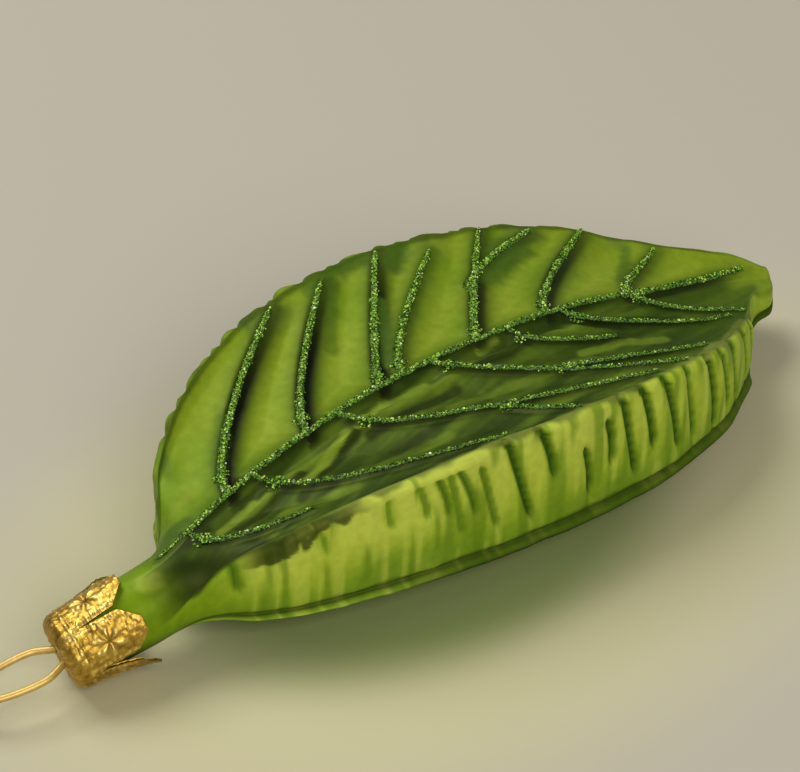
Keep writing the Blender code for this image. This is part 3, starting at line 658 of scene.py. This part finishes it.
def lacquer_and_painted_light_colours(points, marks, fields):
    """Colour at each point of the grid, from where it lies on the leaf: the lacquer's own colours,
    with painted shade and painted highlights over them.
    """
    x, y, z = np.moveaxis(points, -1, 0)
    side, face, wall, low, station = (np.broadcast_to(marks[key], x.shape)
                                      for key in ("side", "face", "wall", "low", "station"))
    distance, shade, shade_halo, _ = fields
    drop = smooth(x, MIDLINE) - y
    blotch = rough_noise(x * 0.14, y * 0.14, 31)
    fine = rough_noise(x * 0.9, y * 0.9, 35)

    grey = ease(rough_noise(x * 0.22, y * 0.12, 37), 0, 0.5)
    far = layered(
        mix(PANEL, PANEL_DEEP, ease(blotch + 0.5 * fall(x, 5, 20), -0.3, 0.8)),
        (PANEL_PALE, 0.6 * ease(distance, 2, 4.5) * fall(face, 0.3, 0.8)),
        (GREEN, 0.55 * fall(distance, 0.6, 2.6)),
        (GREY_GREEN, 0.75 * ease(face + 0.05 * blotch, 0.78, 0.9) * grey),
        # Painted shade on the side of each far vein away from the light: a dark halo and a
        # near-black core
        (DARK, 0.8 * shade_halo),
        (BLACK_GREEN, shade),
        (DEEP, 0.7 * ease(face + 0.01 * fine, 0.955, 1)),
        # Dark patches: partly dark paint, partly painted shade
        *smears(x, y, PAINT_AND_SHADE_GREEN, FAR_PAINT_AND_SHADE))

    streaks = rough_noise(x * 0.07 + drop * 0.05, drop * 0.55 + x * 0.12, 41)
    # A painted highlight along a fold's crest beside the midrib, on the near half
    crest_highlight = hill(drop, CREST_HIGHLIGHT) * ease(distance, 0.9, 2.2)
    torn = 0.03 * rough_noise(x * 0.5, y * 0.5, 47)
    torn = torn - 0.06 * ease(x, 22, 40) + 0.1 * ease(x, 62, 80)
    near = layered(
        mix(DEEP, MOSS, ease(streaks, -0.5, 0.9)),
        (DARK, 0.5 * ease(rough_noise(x * 0.12, drop * 0.9, 43), 0.1, 0.7)),
        (FOLD_HIGHLIGHT, 0.35 * crest_highlight * stretch(x, (8, 14), FOLD_END)),
        # Dark patches: partly dark paint, partly painted shade
        *smears(x, y, DARK, NEAR_PAINT_AND_SHADE),
        # Painted highlights on the near half's folds
        *smears(x, y, FOLD_HIGHLIGHT, NEAR_FOLD_HIGHLIGHTS),
        # Painted shade beside the near veins and the midrib
        (DARK, 0.7 * shade_halo),
        (BLACK_GREEN, 0.85 * shade),
        (OLIVE, ease(face + torn, 0.9, 0.955) * ease(x, 13, 20)),
        (GREEN, 0.6 * ease(x, 70, 86) * (1 - shade)))
    nub = np.maximum(ease(station, 90, 95) * ease(y, -4.5, -2.5), ease(station, 95.5, 97))
    upper = layered(near, (far, ease(side, -0.5, 0.5)), (PANEL, 0.8 * nub * (1 - shade)))

    below = np.maximum(smooth(station, RIM_HEIGHT) - z, 0.0)
    inward = (1 - face) * half_width(station, side) + RIM_RADIUS
    below = np.where(wall > -1.0, below, -inward)
    cut, reach = np.where(side > 0, wall_cuts(station, 1, below), wall_cuts(station, -1, below))
    middle = stretch(station, (2, 12), WALL_FADE) * (1 - 0.4 * ease(station, 46, 62))
    pale = ease(station, 2, 9) * (1 - 0.75 * ease(station, 44, 60))
    streak = noise(station * 1.3, below * 0.12, 57) * stretch(station, (3, 10), WALL_FADE)
    drip = rough_noise(x * 0.55, z * 0.35, 53) - 0.45 * ease(station, 10, 18)
    dipped = fall(below + 2.2 * drip, 0.9, 1.5) * stretch(station, (5, 8), (17, 21))
    dark_lip = ease(station, 16, 34)
    # The lip's dark outline: partly dark paint, partly painted shadow under the wall
    lip_outline_and_shadow = stretch(low, (0.5 - 0.1 * dark_lip, 0.75 - 0.1 * dark_lip), LIP_END)
    body = layered(
        mix(WALL_GREEN, WALL_PALE, middle * fall(wall + 0.22 * blotch, 0.25, 1)),
        # Pale tops of the ribs near the rim, away from the cuts: partly pale paint, partly painted
        # highlight
        (WALL_TOP_PAINT_AND_HIGHLIGHT, 0.85 * pale * ease(-wall + 0.25 * blotch, -0.65, 0.05) * ease(reach, 0.3, 1.5)),
        (WALL_LOW, ease(wall + 0.2 * blotch, 0.55, 1)),
        (WALL_TOP_PAINT_AND_HIGHLIGHT, 0.45 * ease(streak, 0.1, 0.7)),
        (CUT_GREEN, 0.7 * ease(-streak, 0.1, 0.7)),
        # Darker in and around the cuts: painted shade in the recesses
        (CUT_GREEN, 0.85 * fall(reach, 0.2, 1.8) * ease(cut, 0, 0.1)),
        (CUT_DARK, ease(cut, 0.22, 0.62)),
        (DARK, 0.85 * dipped * (side < 0.0)),
        (LEAF_GREEN, 0.6 * fall(station, 1, 8)),
        (DARK, 0.85 * ease(wall, 0.95, 0.995) * fall(low, 0.08, 0.25)),
        (SEAM_GREEN, 0.9 * ease(low, 0.1, 0.3) * dark_lip),
        (BLACK_GREEN, 0.9 * lip_outline_and_shadow),
        (GREEN, 0.7 * ease(low, *LIP_END)),
        (PANEL_DEEP, 0.85 * (side > 0.0) * ease(-wall, -0.3, 0.2)))

    # Painted shade where the near cuts run over the rim
    over = ease(cut, 0.1, 0.5) * fall(np.abs(wall + 1.0), 0, 0.2) * (side < 0.0)
    ragged = 0.45 * noise(station * 0.6, side * 3.0, 61)
    # Painted shade darkens the neck towards its underside; a painted highlight (its glint) lies
    # higher on it
    neck = mix(LEAF_GREEN, NECK_SHADE_GREEN, ease(9.0 + NECK_SLOPE * x - z, 0, 5))
    neck = mix(neck, WALL_TOP_PAINT_AND_HIGHLIGHT, smear(x, y, NECK_GLINT) * ease(z, 5, 7))
    colour = layered(
        upper,
        (CUT_DARK, 0.9 * over),
        (body, ease(wall + ragged, -0.95, -0.45) * ease(wall, -0.99, -0.8)),
        (neck, fall(station, -5, 2)))
    return np.clip(colour * (1 + 0.05 * fine[..., None]), 0.0, 1.0)


def grid_faces(rows, columns, closed=True):
    """Quads of a grid of rows by columns, its rows closed into rings or left open."""
    last = columns if closed else columns - 1
    row = np.arange(rows - 1)[:, None]
    column = np.arange(last)[None, :]
    after = (column + 1) % columns
    quads = np.stack([row * columns + column, row * columns + after,
                      (row + 1) * columns + after, (row + 1) * columns + column], axis=-1)
    return quads.reshape(-1, 4)


def tube_faces(rows, columns, start=0):
    """Faces of a closed tube of rings, both its ends included."""
    first = range(start, start + columns)
    last = range(start + (rows - 1) * columns, start + rows * columns)
    return [*(grid_faces(rows, columns) + start), first[::-1], last]


def circles(centres, radii, first, second, count):
    """A ring of points around each centre, in the plane of its two unit vectors."""
    turn = 2.0 * math.pi * np.arange(count)[:, None] / count
    spokes = np.cos(turn) * first[:, None] + np.sin(turn) * second[:, None]
    return (centres[:, None] + radii[:, None, None] * spokes).reshape(-1, 3)


def make_object(name, points, faces, material, place=None):
    """A smooth-shaded object from points in millimetres, placed in the frame."""
    mesh = bpy.data.meshes.new(name)
    mesh.from_pydata([tuple(point) for point in points * MM], [], [tuple(face) for face in faces])
    mesh.transform(LEAF_PLACE if place is None else place)
    mesh.validate()
    mesh.shade_smooth()
    mesh.materials.append(material)
    thing = bpy.data.objects.new(name, mesh)
    bpy.context.scene.collection.objects.link(thing)
    return thing


def paint(thing, name, colours):
    """Stores a colour for each vertex."""
    attribute = thing.data.color_attributes.new(name, "FLOAT_COLOR", "POINT")
    filled = np.ones((len(colours), 4), np.float32)
    filled[:, :3] = colours
    attribute.data.foreach_set("color", filled.ravel())


def make_glass(material):
    """The lacquered glass: the fine outer surface, closed at the tip and turned in at the mouth."""
    grid, marks = leaf_grid()
    rows, columns, _ = grid.shape
    on_face = marks["face"] < 1.0
    plan = grid[:, on_face, :2].reshape(-1, 2)
    found = vein_fields(plan)
    grid[:, on_face, 2] += face_relief(plan, found).reshape(rows, -1)
    fields = np.zeros((4, rows, columns))
    fields[0] = 1e3
    fields[:, :, on_face] = np.array(found).reshape(4, rows, -1)
    colours = lacquer_and_painted_light_colours(grid, marks, fields)
    heart, centre = grid[-1].mean(axis=0), grid[0].mean(axis=0)
    tip = [heart + share * (grid[-1] - heart) + (ahead * TIP_CLOSING, 0.0, 0.0)
           for share, ahead in TIP_RINGS]
    mouth = [centre + share * (grid[0] - centre) + ahead * np.array([1.0, NECK_TURN, NECK_SLOPE])
             for share, ahead in MOUTH_RINGS]
    rings = np.concatenate([mouth, grid, tip])
    points = np.vstack([rings.reshape(-1, 3), tip[-1].mean(axis=0) + (0.03, 0.0, 0.0)])
    faces = list(grid_faces(len(rings), columns)[:, ::-1])
    last = (len(rings) - 1) * columns
    faces += [(last + (k + 1) % columns, last + k, len(points) - 1) for k in range(columns)]
    shell = make_object("lacquered_glass", points, faces, material)
    # The lacquer's own colours, with painted shade and painted highlights laid over them
    paint(shell, "lacquer", np.vstack([*[colours[0]] * len(mouth), *colours,
                                       *[colours[-1]] * len(tip), colours[-1].mean(axis=0)]))
    return shell


def sample(at, known, rows):
    """Plan values at some distances along a curve, from rows of them at known distances."""
    return np.stack([np.interp(at, known, rows[:, k]) for k in (0, 1)], axis=1)


def along_curve(curve, step):
    """Evenly spaced points along a plan curve, with their directions and distances."""
    length = np.concatenate([[0.0], np.cumsum(np.hypot(*np.diff(curve, axis=0).T))])
    at = np.linspace(0.0, length[-1], max(4, round(length[-1] / step) + 1))
    points = sample(at, length, curve)
    return points, unit(np.gradient(points, axis=0)), at


def bead_height(across, at, seed):
    """Height of a glue line from its middle to its edges, uneven along it."""
    return (GLUE_HEIGHT * np.sqrt(np.maximum(1 - across**2, 0.0))
            * (1 + 0.3 * noise(at * 1.7, 0.5, BEAD_SEED + seed)))


def glue_width(name, at, seed):
    """Width of a glue line along its vein: uneven, and thinner towards its end."""
    if name == "midrib":
        thin, taper = 1.0, ease(at, 2, 6)
    else:
        thin, taper = 1.0 - 0.35 * (at / at[-1]) ** 2, ease(at[-1] - at, 0, 1.2)
    wander = 1.0 + 0.22 * noise(at * 0.9, 0.5, WIDTH_SEED + seed)
    return GLUE_WIDTH[name.split("_")[0]] * thin * (0.35 + 0.65 * taper) * wander


def make_glue(material):
    """The raised green glue under the flakes: one low bead along each vein."""
    points, faces = [], []
    start = 0
    across = np.linspace(-1.0, 1.0, GLUE_COLUMNS)
    for seed, (name, curve) in enumerate(VEIN_LINES.items()):
        centre, direction, at = along_curve(curve, GLUE_STEP)
        half = 0.5 * glue_width(name, at, seed)
        side = direction[:, ::-1] * (-1.0, 1.0)
        plan = centre[:, None, :] + (half[:, None] * across)[..., None] * side[:, None, :]
        height = face_height(plan.reshape(-1, 2)).reshape(plan.shape[:2])
        bead = bead_height(across, at[:, None], seed)
        lumps = 0.06 * noise(plan[..., 0] * 3.0, plan[..., 1] * 3.0, 95) * (1 - across**2)
        top = np.dstack([plan, height + bead + lumps - 0.05 * across**2])
        below = np.dstack([plan, height - GLUE_SUNK])[:, -2:0:-1]
        ring = np.concatenate([top, below], axis=1)
        rows, columns, _ = ring.shape
        points.append(ring.reshape(-1, 3))
        faces += tube_faces(rows, columns, start)
        start += rows * columns
    return make_object("glitter_glue", np.vstack(points), faces, material)


def flake_places(rng):
    """Plan points of the flakes, and how high on its bead each one lies."""
    plans, lifts = [], []
    for seed, (name, curve) in enumerate(VEIN_LINES.items()):
        centre, direction, at = along_curve(curve, GLUE_STEP)
        width = glue_width(name, at, seed)
        count = int(FLAKES_PER_MM2 * width.mean() * at[-1])
        where = rng.uniform(0.0, at[-1], count)
        across = np.clip(rng.normal(0.0, 0.42, count), -1.15, 1.15)
        half = 0.5 * np.interp(where, at, width)
        side = sample(where, at, direction)[:, ::-1] * (-1.0, 1.0)
        plans.append(sample(where, at, centre) + (half * across)[:, None] * side)
        lifts.append(bead_height(across, where, seed))
    for curve in list(VEIN_LINES.values())[1:]:
        count = int(FLAKES_PER_MM2 * BLOB_AREA)
        reach = BLOB_RADIUS * np.sqrt(rng.uniform(0.0, 1.0, count))
        turn = rng.uniform(0.0, 2.0 * math.pi, count)
        spread = np.stack([np.cos(turn), 0.7 * np.sin(turn)], axis=1)
        plans.append(curve[1] + reach[:, None] * spread)
        lifts.append(0.8 * GLUE_HEIGHT * (1 - (reach / BLOB_RADIUS) ** 2))
    return np.vstack(plans), np.concatenate(lifts)


def make_flakes(material):
    """Thousands of small six-sided flakes, tilted every way, in greens with a few bright ones."""
    rng = np.random.default_rng(7)
    plan, lift = flake_places(rng)
    count = len(plan)
    normal = unit(face_normal(plan) + FLAKE_TILT * rng.normal(0.0, 0.6, (count, 3)))
    first = unit(np.cross(normal, rng.normal(0.0, 1.0, (count, 3))))
    centre = np.column_stack([plan, face_height(plan) + lift + rng.uniform(0.0, 0.1, count)])
    radius = rng.uniform(*FLAKE_RADIUS, count)
    points = circles(centre, radius, first, np.cross(normal, first), 6)
    faces = np.arange(count * 6).reshape(count, 6)
    flakes = make_object("glitter_flakes", points, faces, material)
    tint = rng.uniform(0.0, 1.0, count)
    chosen = FLAKE_COLOURS[np.searchsorted(FLAKE_SHARES, tint)]
    chosen = chosen * rng.uniform(0.7, 1.25, (count, 1))
    paint(flakes, "flake", np.clip(np.repeat(chosen, 6, axis=0), 0.0, 1.0))
    return flakes


def neck_seat():
    """Where a piece modelled along +Z sits on the neck, its zero just outside the mouth."""
    axis, across, up = neck_axes()
    seat = Vector(neck_centre(NECK_MOUTH)) - axis * (CAP_GAP + 0.5 * CAP_SHEET)
    frame = Matrix((across, up, axis)).transposed().to_4x4()
    return LEAF_PLACE @ Matrix.Translation(seat * MM) @ frame


def cells(u, v, seed):
    """Distance from each point to the nearest of one jittered seed in each unit cell."""
    iu = np.floor(u).astype(np.int64)
    iv = np.floor(v).astype(np.int64)
    best = np.full(u.shape, 9.0)
    for du in (-1, 0, 1):
        for dv in (-1, 0, 1):
            pu = iu + du + 0.15 + 0.7 * lattice(iu + du, iv + dv, seed)
            pv = iv + dv + 0.15 + 0.7 * lattice(iu + du, iv + dv, seed + 1)
            best = np.minimum(best, np.hypot(u - pu, v - pv))
    return best


def emboss(turn, s, across):
    """Height of the stamped pattern: pebbles, beaded edges and a plain rosette on each tab."""
    about = turn * (MOUTH_RADIUS + CAP_GAP)
    pebbles = sum(height * (level - cells(about / size, s / size, seed))
                  for height, level, size, seed in PEBBLES)
    bead = 0.35 + 0.65 * np.sin(math.pi * s / BEAD_PITCH) ** 2
    beads = hill(np.abs(across), TAB_EDGE) * bead * ease(s, 1.2, 2.2)
    du = across * math.pi / CAP_TABS * (MOUTH_RADIUS + CAP_GAP)
    dv = s - STAR_PLACE
    reach = np.hypot(du, dv)
    petals = np.abs(np.cos(3.0 * np.arctan2(dv, du)))
    star = petals**3 * hill(reach, STAR_RAYS) - hill(reach, STAR_HEART)
    on_star = np.exp(-(reach / 1.6) ** 4)
    rim = hill(s, BAND_BEADS) * (0.3 + 0.7 * np.cos(9.0 * turn) ** 2)
    wave = 0.05 * noise(about * 0.8, s * 0.8, 79)
    return pebbles * (1 - 0.7 * on_star) + star + beads + rim + wave


def cap_radius(s):
    """Radius to the middle of the cap's sheet: it widens as the neck under it does."""
    widening = (NECK_RADIUS - MOUTH_RADIUS) / (NECK_CONE_END - NECK_MOUTH)
    return MOUTH_RADIUS + CAP_GAP + 0.5 * CAP_SHEET + widening * s


def cap_row(tab, t, across, sector):
    """Angle, height and radius of one row of a tab; t runs from the band to the tab's end."""
    clipped = np.maximum(np.abs(across) - CAP_CORNER, 0.0) / (1 - CAP_CORNER)
    end = CAP_LENGTH - (CAP_LENGTH - CAP_SHOULDER) * clipped
    s = CAP_BAND + (end - CAP_BAND) * t
    narrow = 1.0 - CAP_SLIT * t
    turn = CAP_TURN + (tab + 0.5 + 0.5 * across * narrow) * sector
    crown = 1.0 + CAP_CROWN * (1 - across * across) * t
    return turn, s, (cap_radius(s) + CAP_FLARES[tab] * t * t) * crown


def make_cap(seat, material):
    """The stamped crown: each fifth is one sheet from the end disc over the corner to its tab."""
    rows, columns = CAP_ROWS, CAP_COLUMNS
    sector = 2.0 * math.pi / CAP_TABS
    flat_radius = cap_radius(0.0) - CAP_ROUNDING
    points, faces, heights = [], [], []
    across, profile = np.meshgrid(np.linspace(-1.0, 1.0, columns), np.linspace(0.0, 1.0, rows))
    on_disc = profile < DISC_SHARE
    on_tab = profile > BAND_SHARE
    bend = np.clip((profile - DISC_SHARE) / (CORNER_SHARE - DISC_SHARE), 0.0, 1.0) * 0.5 * math.pi
    down = np.interp(profile, (CORNER_SHARE, BAND_SHARE), (CAP_ROUNDING, CAP_BAND))
    t = np.clip((profile - BAND_SHARE) / (1 - BAND_SHARE), 0.0, 1.0)
    facing = np.where(on_disc, 0.0, np.sin(bend))
    crown_s = np.where(profile > CORNER_SHARE, down, CAP_ROUNDING * (1 - np.cos(bend)))
    crown_r = np.where(on_disc, np.interp(profile, (0.0, DISC_SHARE), (0.06, flat_radius)),
                       flat_radius + (cap_radius(crown_s) - flat_radius) * np.sin(bend))
    for tab in range(CAP_TABS):
        turn = CAP_TURN + (tab + 0.5 + 0.5 * across) * sector
        turn, s, r = np.where(on_tab, cap_row(tab, t, across, sector), (turn, crown_s, crown_r))
        height = emboss(turn, s + np.where(on_disc, r, 0.0), across)
        height = height * np.where(on_disc, ease(r, 0.4, 1.2), 1)
        for layer in (0.5, -0.5):
            lift = height + layer * (CAP_SHEET - CAP_THINNING)
            out = r + lift * facing
            along = s - lift * np.sqrt(1 - facing**2)
            points.append(np.dstack([out * np.cos(turn), out * np.sin(turn), along]).reshape(-1, 3))
            heights.append(height.ravel())
        start = tab * 2 * rows * columns
        other = rows * columns
        quads = grid_faces(rows, columns, closed=False)
        faces += [*(quads[:, ::-1] + start), *(quads + start + other)]
        low = start + int(BAND_SHARE * rows) * columns
        last = start + (rows - 1) * columns
        for edge in (range(low, last + 1, columns), range(last, last + columns),
                     range(low + columns - 1, last + columns, columns)[::-1]):
            faces += [(a, b, b + other, a + other) for a, b in zip(edge, edge[1:])]
    cap = make_object("stamped_cap", np.vstack(points), faces, material, seat)
    raised = np.concatenate(heights)
    # Painted shade in the hollows of the stamped pattern and painted highlight on its raised parts
    paint(cap, "gold_shade_and_highlight", layered(GOLD_SHADE, (GOLD, ease(raised, -0.1, 0.03)),
                                  (GOLD_HIGHLIGHT, ease(raised, 0.04, 0.13))))
    return cap


def make_wire(seat, material):
    """The hanger: a small round loop outside, and two legs sprung apart inside the neck."""
    spread = MOUTH_RADIUS - GLASS_WALL - WIRE_RADIUS - LEG_CLEARANCE - HOLE_OFFSET
    s = LEG_LENGTH * np.linspace(1.0, 0.0, LEG_STEPS)
    leg = (HOLE_OFFSET + spread * ease(s, LEG_STRAIGHT, LEG_LENGTH), 0.0 * s, s)
    angle = math.pi * np.arange(1, LOOP_STEPS + 1) / LOOP_STEPS
    out = LOOP_LENGTH * 0.5 * (1 - np.cos(angle))
    wide = LOOP_HALF_WIDTH * np.sin(angle) * ease(out, *LOOP_OPENING)
    loop = (wide + HOLE_OFFSET * np.cos(0.5 * angle) ** 2, LOOP_RISE * out, -out)
    far = np.hstack([leg, loop]).T
    path = np.vstack([far, far[:-1][::-1] * (-1.0, 1.0, 1.0)])
    tangent = unit(np.gradient(path, axis=0))
    up = unit(np.cross(tangent, (0.0, 1.0, 0.0)))
    girth = (WIRE_RADIUS + WIRE_COAT) * (1 + 0.03 * noise(np.arange(len(path)) * 0.35, 0.5, 83))
    points = circles(path, girth, up, np.cross(tangent, up), WIRE_SIDES)
    return make_object("pale_wire", points, tube_faces(len(path), WIRE_SIDES), material, seat)


def set_inputs(node, **inputs):
    """Sets some of a node's inputs, or links them where they are given another's output."""
    for name, value in inputs.items():
        socket = node.inputs[name.replace("_", " ")]
        if isinstance(value, bpy.types.NodeSocket):
            node.id_data.links.new(value, socket)
        else:
            socket.default_value = value


def add_node(shader, kind, **inputs):
    """A new node in the shader's tree, with some of its inputs set."""
    node = shader.id_data.nodes.new("ShaderNode" + kind)
    set_inputs(node, **inputs)
    return node


def new_material(name, metallic, roughness):
    """A material and its shader."""
    material = bpy.data.materials.new(name)
    material.use_nodes = True
    shader = material.node_tree.nodes["Principled BSDF"]
    set_inputs(shader, Metallic=metallic, Roughness=roughness)
    return material, shader


def grain(shader, scale, detail=3.0):
    """Noise in object space with a grain of about 1/scale metres."""
    place = add_node(shader, "TexCoord").outputs["Object"]
    return add_node(shader, "TexNoise", Vector=place, Scale=scale, Detail=detail).outputs["Fac"]


def ranged(shader, scale, low, high):
    """Noise spread from low to high."""
    return add_node(shader, "MapRange", Value=grain(shader, scale), From_Min=0.3, From_Max=0.7,
                    To_Min=low, To_Max=high).outputs["Result"]


def bump(shader, source, strength):
    """Fine surface relief from a value."""
    relief = add_node(shader, "Bump", Height=source, Strength=strength, Distance=BUMP_DEPTH)
    set_inputs(shader, Normal=relief.outputs["Normal"])


def tint(shader, attribute, scale, low, high):
    """Gives the shader the attribute's colour, made darker or lighter by noise."""
    colour = add_node(shader, "Attribute")
    colour.attribute_name = attribute
    shade = add_node(shader, "HueSaturation", Value=ranged(shader, scale, low, high),
                     Color=colour.outputs["Color"])
    set_inputs(shader, Base_Color=shade.outputs["Color"])


def colour_ramp(shader, source, *stops):
    """Gives the shader colours by a value, from (position, colour) stops."""
    ramp = add_node(shader, "ValToRGB", Fac=source)
    elements = ramp.color_ramp.elements
    for k, (position, colour) in enumerate(stops):
        element = elements[k] if k < 2 else elements.new(position)
        element.position = position
        element.color = (*colour, 1.0)
    set_inputs(shader, Base_Color=ramp.outputs["Color"])
    return ramp


def lacquer_material():
    """Satin pearl lacquer over silvered glass."""
    material, shader = new_material("lacquer", 0.08, 0.5)
    set_inputs(shader, Specular_IOR_Level=0.2, Specular_Tint=(0.8, 0.9, 0.3, 1.0),
               Roughness=ranged(shader, 220.0, 0.42, 0.56))
    tint(shader, "lacquer", 900.0, 0.92, 1.08)
    bump(shader, grain(shader, 700.0), 0.08)
    return material


def glue_material():
    """Dark green glue, thick with fine glitter dust."""
    material, shader = new_material("glue", 0.0, 0.5)
    dust = grain(shader, 5200.0, 2.0)
    colour_ramp(shader, dust, (0.44, GLUE_DARK), (0.6, GLUE_DUST))
    bump(shader, dust, 0.8)
    return material


def flake_material():
    """Metallised film flakes, each with its own colour."""
    material, shader = new_material("flakes", 0.0, 0.35)
    set_inputs(shader, Specular_Tint=(0.7, 1.0, 0.35, 1.0))
    tint(shader, "flake", 3000.0, 0.9, 1.1)
    return material


def gold_material():
    """Bright stamped gold sheet, with painted shade in its hollows and painted highlight on its
    raised pattern.
    """
    material, shader = new_material("gold", 1.0, 0.34)
    tint(shader, "gold_shade_and_highlight", 1400.0, 0.85, 1.12)
    set_inputs(shader, Roughness=ranged(shader, 1500.0, 0.36, 0.52))
    bump(shader, grain(shader, 2600.0), 0.25)
    return material


def wire_material():
    """Pale gold wire with drawn streaks."""
    material, shader = new_material("wire", 0.7, 0.48)
    colour_ramp(shader, grain(shader, 900.0), (0.0, WIRE_GOLD), (1.0, WIRE_PALE))
    bump(shader, grain(shader, 2400.0), 0.15)
    return material


def paper_material():
    """Plain paper, warm grey, with a painted shadow and a painted green cast of light from the leaf
    around it.
    """
    material, shader = new_material("paper", 0.0, 0.85)
    place = add_node(shader, "TexCoord").outputs["Object"]
    centred = add_node(shader, "Mapping", Vector=place, Location=PAINTED_CAST_CENTRE, Scale=PAINTED_CAST_REACH)
    centred.vector_type = "TEXTURE"
    reach = add_node(shader, "VectorMath", Vector=centred.outputs["Vector"])
    reach.operation = "LENGTH"
    # Painted shadow close to the leaf, then a painted green cast of light, fading to the plain
    # paper
    ramp = colour_ramp(shader, reach.outputs["Value"],
                       (0.3, PAPER_PAINTED_SHADOW), (0.5, PAPER_PAINTED_CAST), (1.0, PAPER))
    ramp.color_ramp.interpolation = "EASE"
    bump(shader, grain(shader, 1800.0), 0.05)
    return material


def view_to_frame():
    """Turns the photograph's axes, right, away and up, into the frame's."""
    turned = Matrix.Translation(Vector(LEAF_IN_VIEW) * MM) @ Matrix.Rotation(LEAF_AZIMUTH, 4, "Z")
    return LEAF_PLACE @ Matrix.Translation((0.0, 0.0, VIEW_RAISE * MM)) @ turned.inverted()


def make_camera():
    """The photograph's viewpoint."""
    lens = bpy.data.cameras.new("camera")
    lens.sensor_width = SENSOR_MM
    lens.lens = FOCAL_PIXELS * SENSOR_MM / IMAGE_WIDTH
    camera = bpy.data.objects.new("camera", lens)
    bpy.context.scene.collection.objects.link(camera)
    low, high = math.sin(VIEW_ELEVATION), math.cos(VIEW_ELEVATION)
    forward = Vector((0.0, high, -low))
    right = Vector((1.0, 0.0, 0.0))
    pose = Matrix((right, right.cross(forward), -forward)).transposed().to_4x4()
    pose.translation = -forward * VIEW_DISTANCE * MM
    camera.matrix_world = view_to_frame() @ pose
    bpy.context.scene.camera = camera


def make_light(name, place, size, power, colour):
    """A soft square light, placed in the photograph's axes in metres and aimed at their zero."""
    light = bpy.data.lights.new(name, "AREA")
    light.shape = "SQUARE"
    light.size = size
    light.energy = power
    light.color = colour
    lamp = bpy.data.objects.new(name, light)
    bpy.context.scene.collection.objects.link(lamp)
    turn = view_to_frame().to_3x3().to_4x4()
    facing = (-Vector(place)).to_track_quat("-Z", "Y").to_matrix().to_4x4()
    lamp.matrix_world = turn @ Matrix.Translation(place) @ facing


def make_stage():
    """Floor, lights and sky."""
    bpy.ops.mesh.primitive_grid_add(x_subdivisions=8, y_subdivisions=8, size=3.0)
    floor = bpy.context.object
    floor.name = "paper_floor"
    floor.data.materials.append(paper_material())
    make_light("key", (-0.4, 0.3, 0.75), 0.55, 6.0, (1.0, 0.98, 0.92))
    make_light("fill", (0.3, -0.75, 0.6), 0.6, 6.5, (1.0, 0.95, 0.86))
    world = bpy.data.worlds.new("room")
    world.use_nodes = True
    sky = world.node_tree.nodes["Background"]
    set_inputs(sky, Color=(0.85, 0.83, 0.78, 1.0), Strength=0.24)
    bpy.context.scene.world = world
    bpy.context.scene.view_settings.view_transform = "Standard"


# Colours
PANEL = srgb(118, 140, 30)
PANEL_PALE = srgb(136, 152, 46)
PANEL_DEEP = srgb(100, 130, 20)
FOLD_HIGHLIGHT = srgb(128, 152, 44)
GREEN = srgb(64, 90, 16)
LEAF_GREEN = srgb(106, 136, 14)
NECK_SHADE_GREEN = srgb(54, 76, 10)
MOSS = srgb(84, 106, 26)
OLIVE = srgb(112, 124, 52)
DEEP = srgb(42, 62, 12)
DARK = srgb(20, 32, 5)
GREY_GREEN = srgb(86, 108, 40)
BLACK_GREEN = srgb(3, 7, 1)
WALL_GREEN = srgb(126, 156, 26)
WALL_PALE = srgb(160, 178, 54)
WALL_TOP_PAINT_AND_HIGHLIGHT = srgb(182, 196, 78)
WALL_LOW = srgb(112, 142, 34)
CUT_GREEN = srgb(96, 128, 22)
CUT_DARK = srgb(44, 76, 12)
SEAM_GREEN = srgb(54, 76, 12)
PAINT_AND_SHADE_GREEN = srgb(62, 90, 22)
GOLD = srgb(182, 148, 62)
GOLD_SHADE = srgb(108, 80, 26)
GOLD_HIGHLIGHT = srgb(218, 190, 106)
WIRE_GOLD = srgb(184, 152, 74)
WIRE_PALE = srgb(222, 196, 124)
GLUE_DARK = srgb(24, 48, 10)
GLUE_DUST = srgb(112, 162, 52)
PAPER = srgb(177, 172, 159)
# Painted green cast of light and painted shadow on the paper
PAPER_PAINTED_CAST = srgb(190, 186, 150)
PAPER_PAINTED_SHADOW = srgb(136, 150, 92)
FLAKE_SHARES = np.array([0.36, 0.62, 0.85, 0.982, 1.0])
FLAKE_COLOURS = np.array([srgb(30, 62, 14), srgb(96, 148, 36), srgb(138, 186, 50),
                          srgb(190, 218, 96), srgb(244, 252, 224)])

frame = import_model()

LEAF_PLACE = Matrix.Translation(Vector(LEAF_SHIFT) * MM)
VEIN_LINES = vein_curves()

make_camera()
make_stage()

cap_seat = neck_seat()
dressed = ((make_glass(lacquer_material()), "leaf_glass", "green_lacquered_glass"),
           (make_glue(glue_material()), "glitter_veins", "green_glitter"),
           (make_flakes(flake_material()), "glitter_veins", "green_glitter"),
           (make_cap(cap_seat, gold_material()), "crown_cap", "gold_sheet"),
           (make_wire(cap_seat, wire_material()), "hanger_wire", "pale_gold_wire"))
for piece, node, finish in dressed:
    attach(piece, "root")
    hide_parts(node)
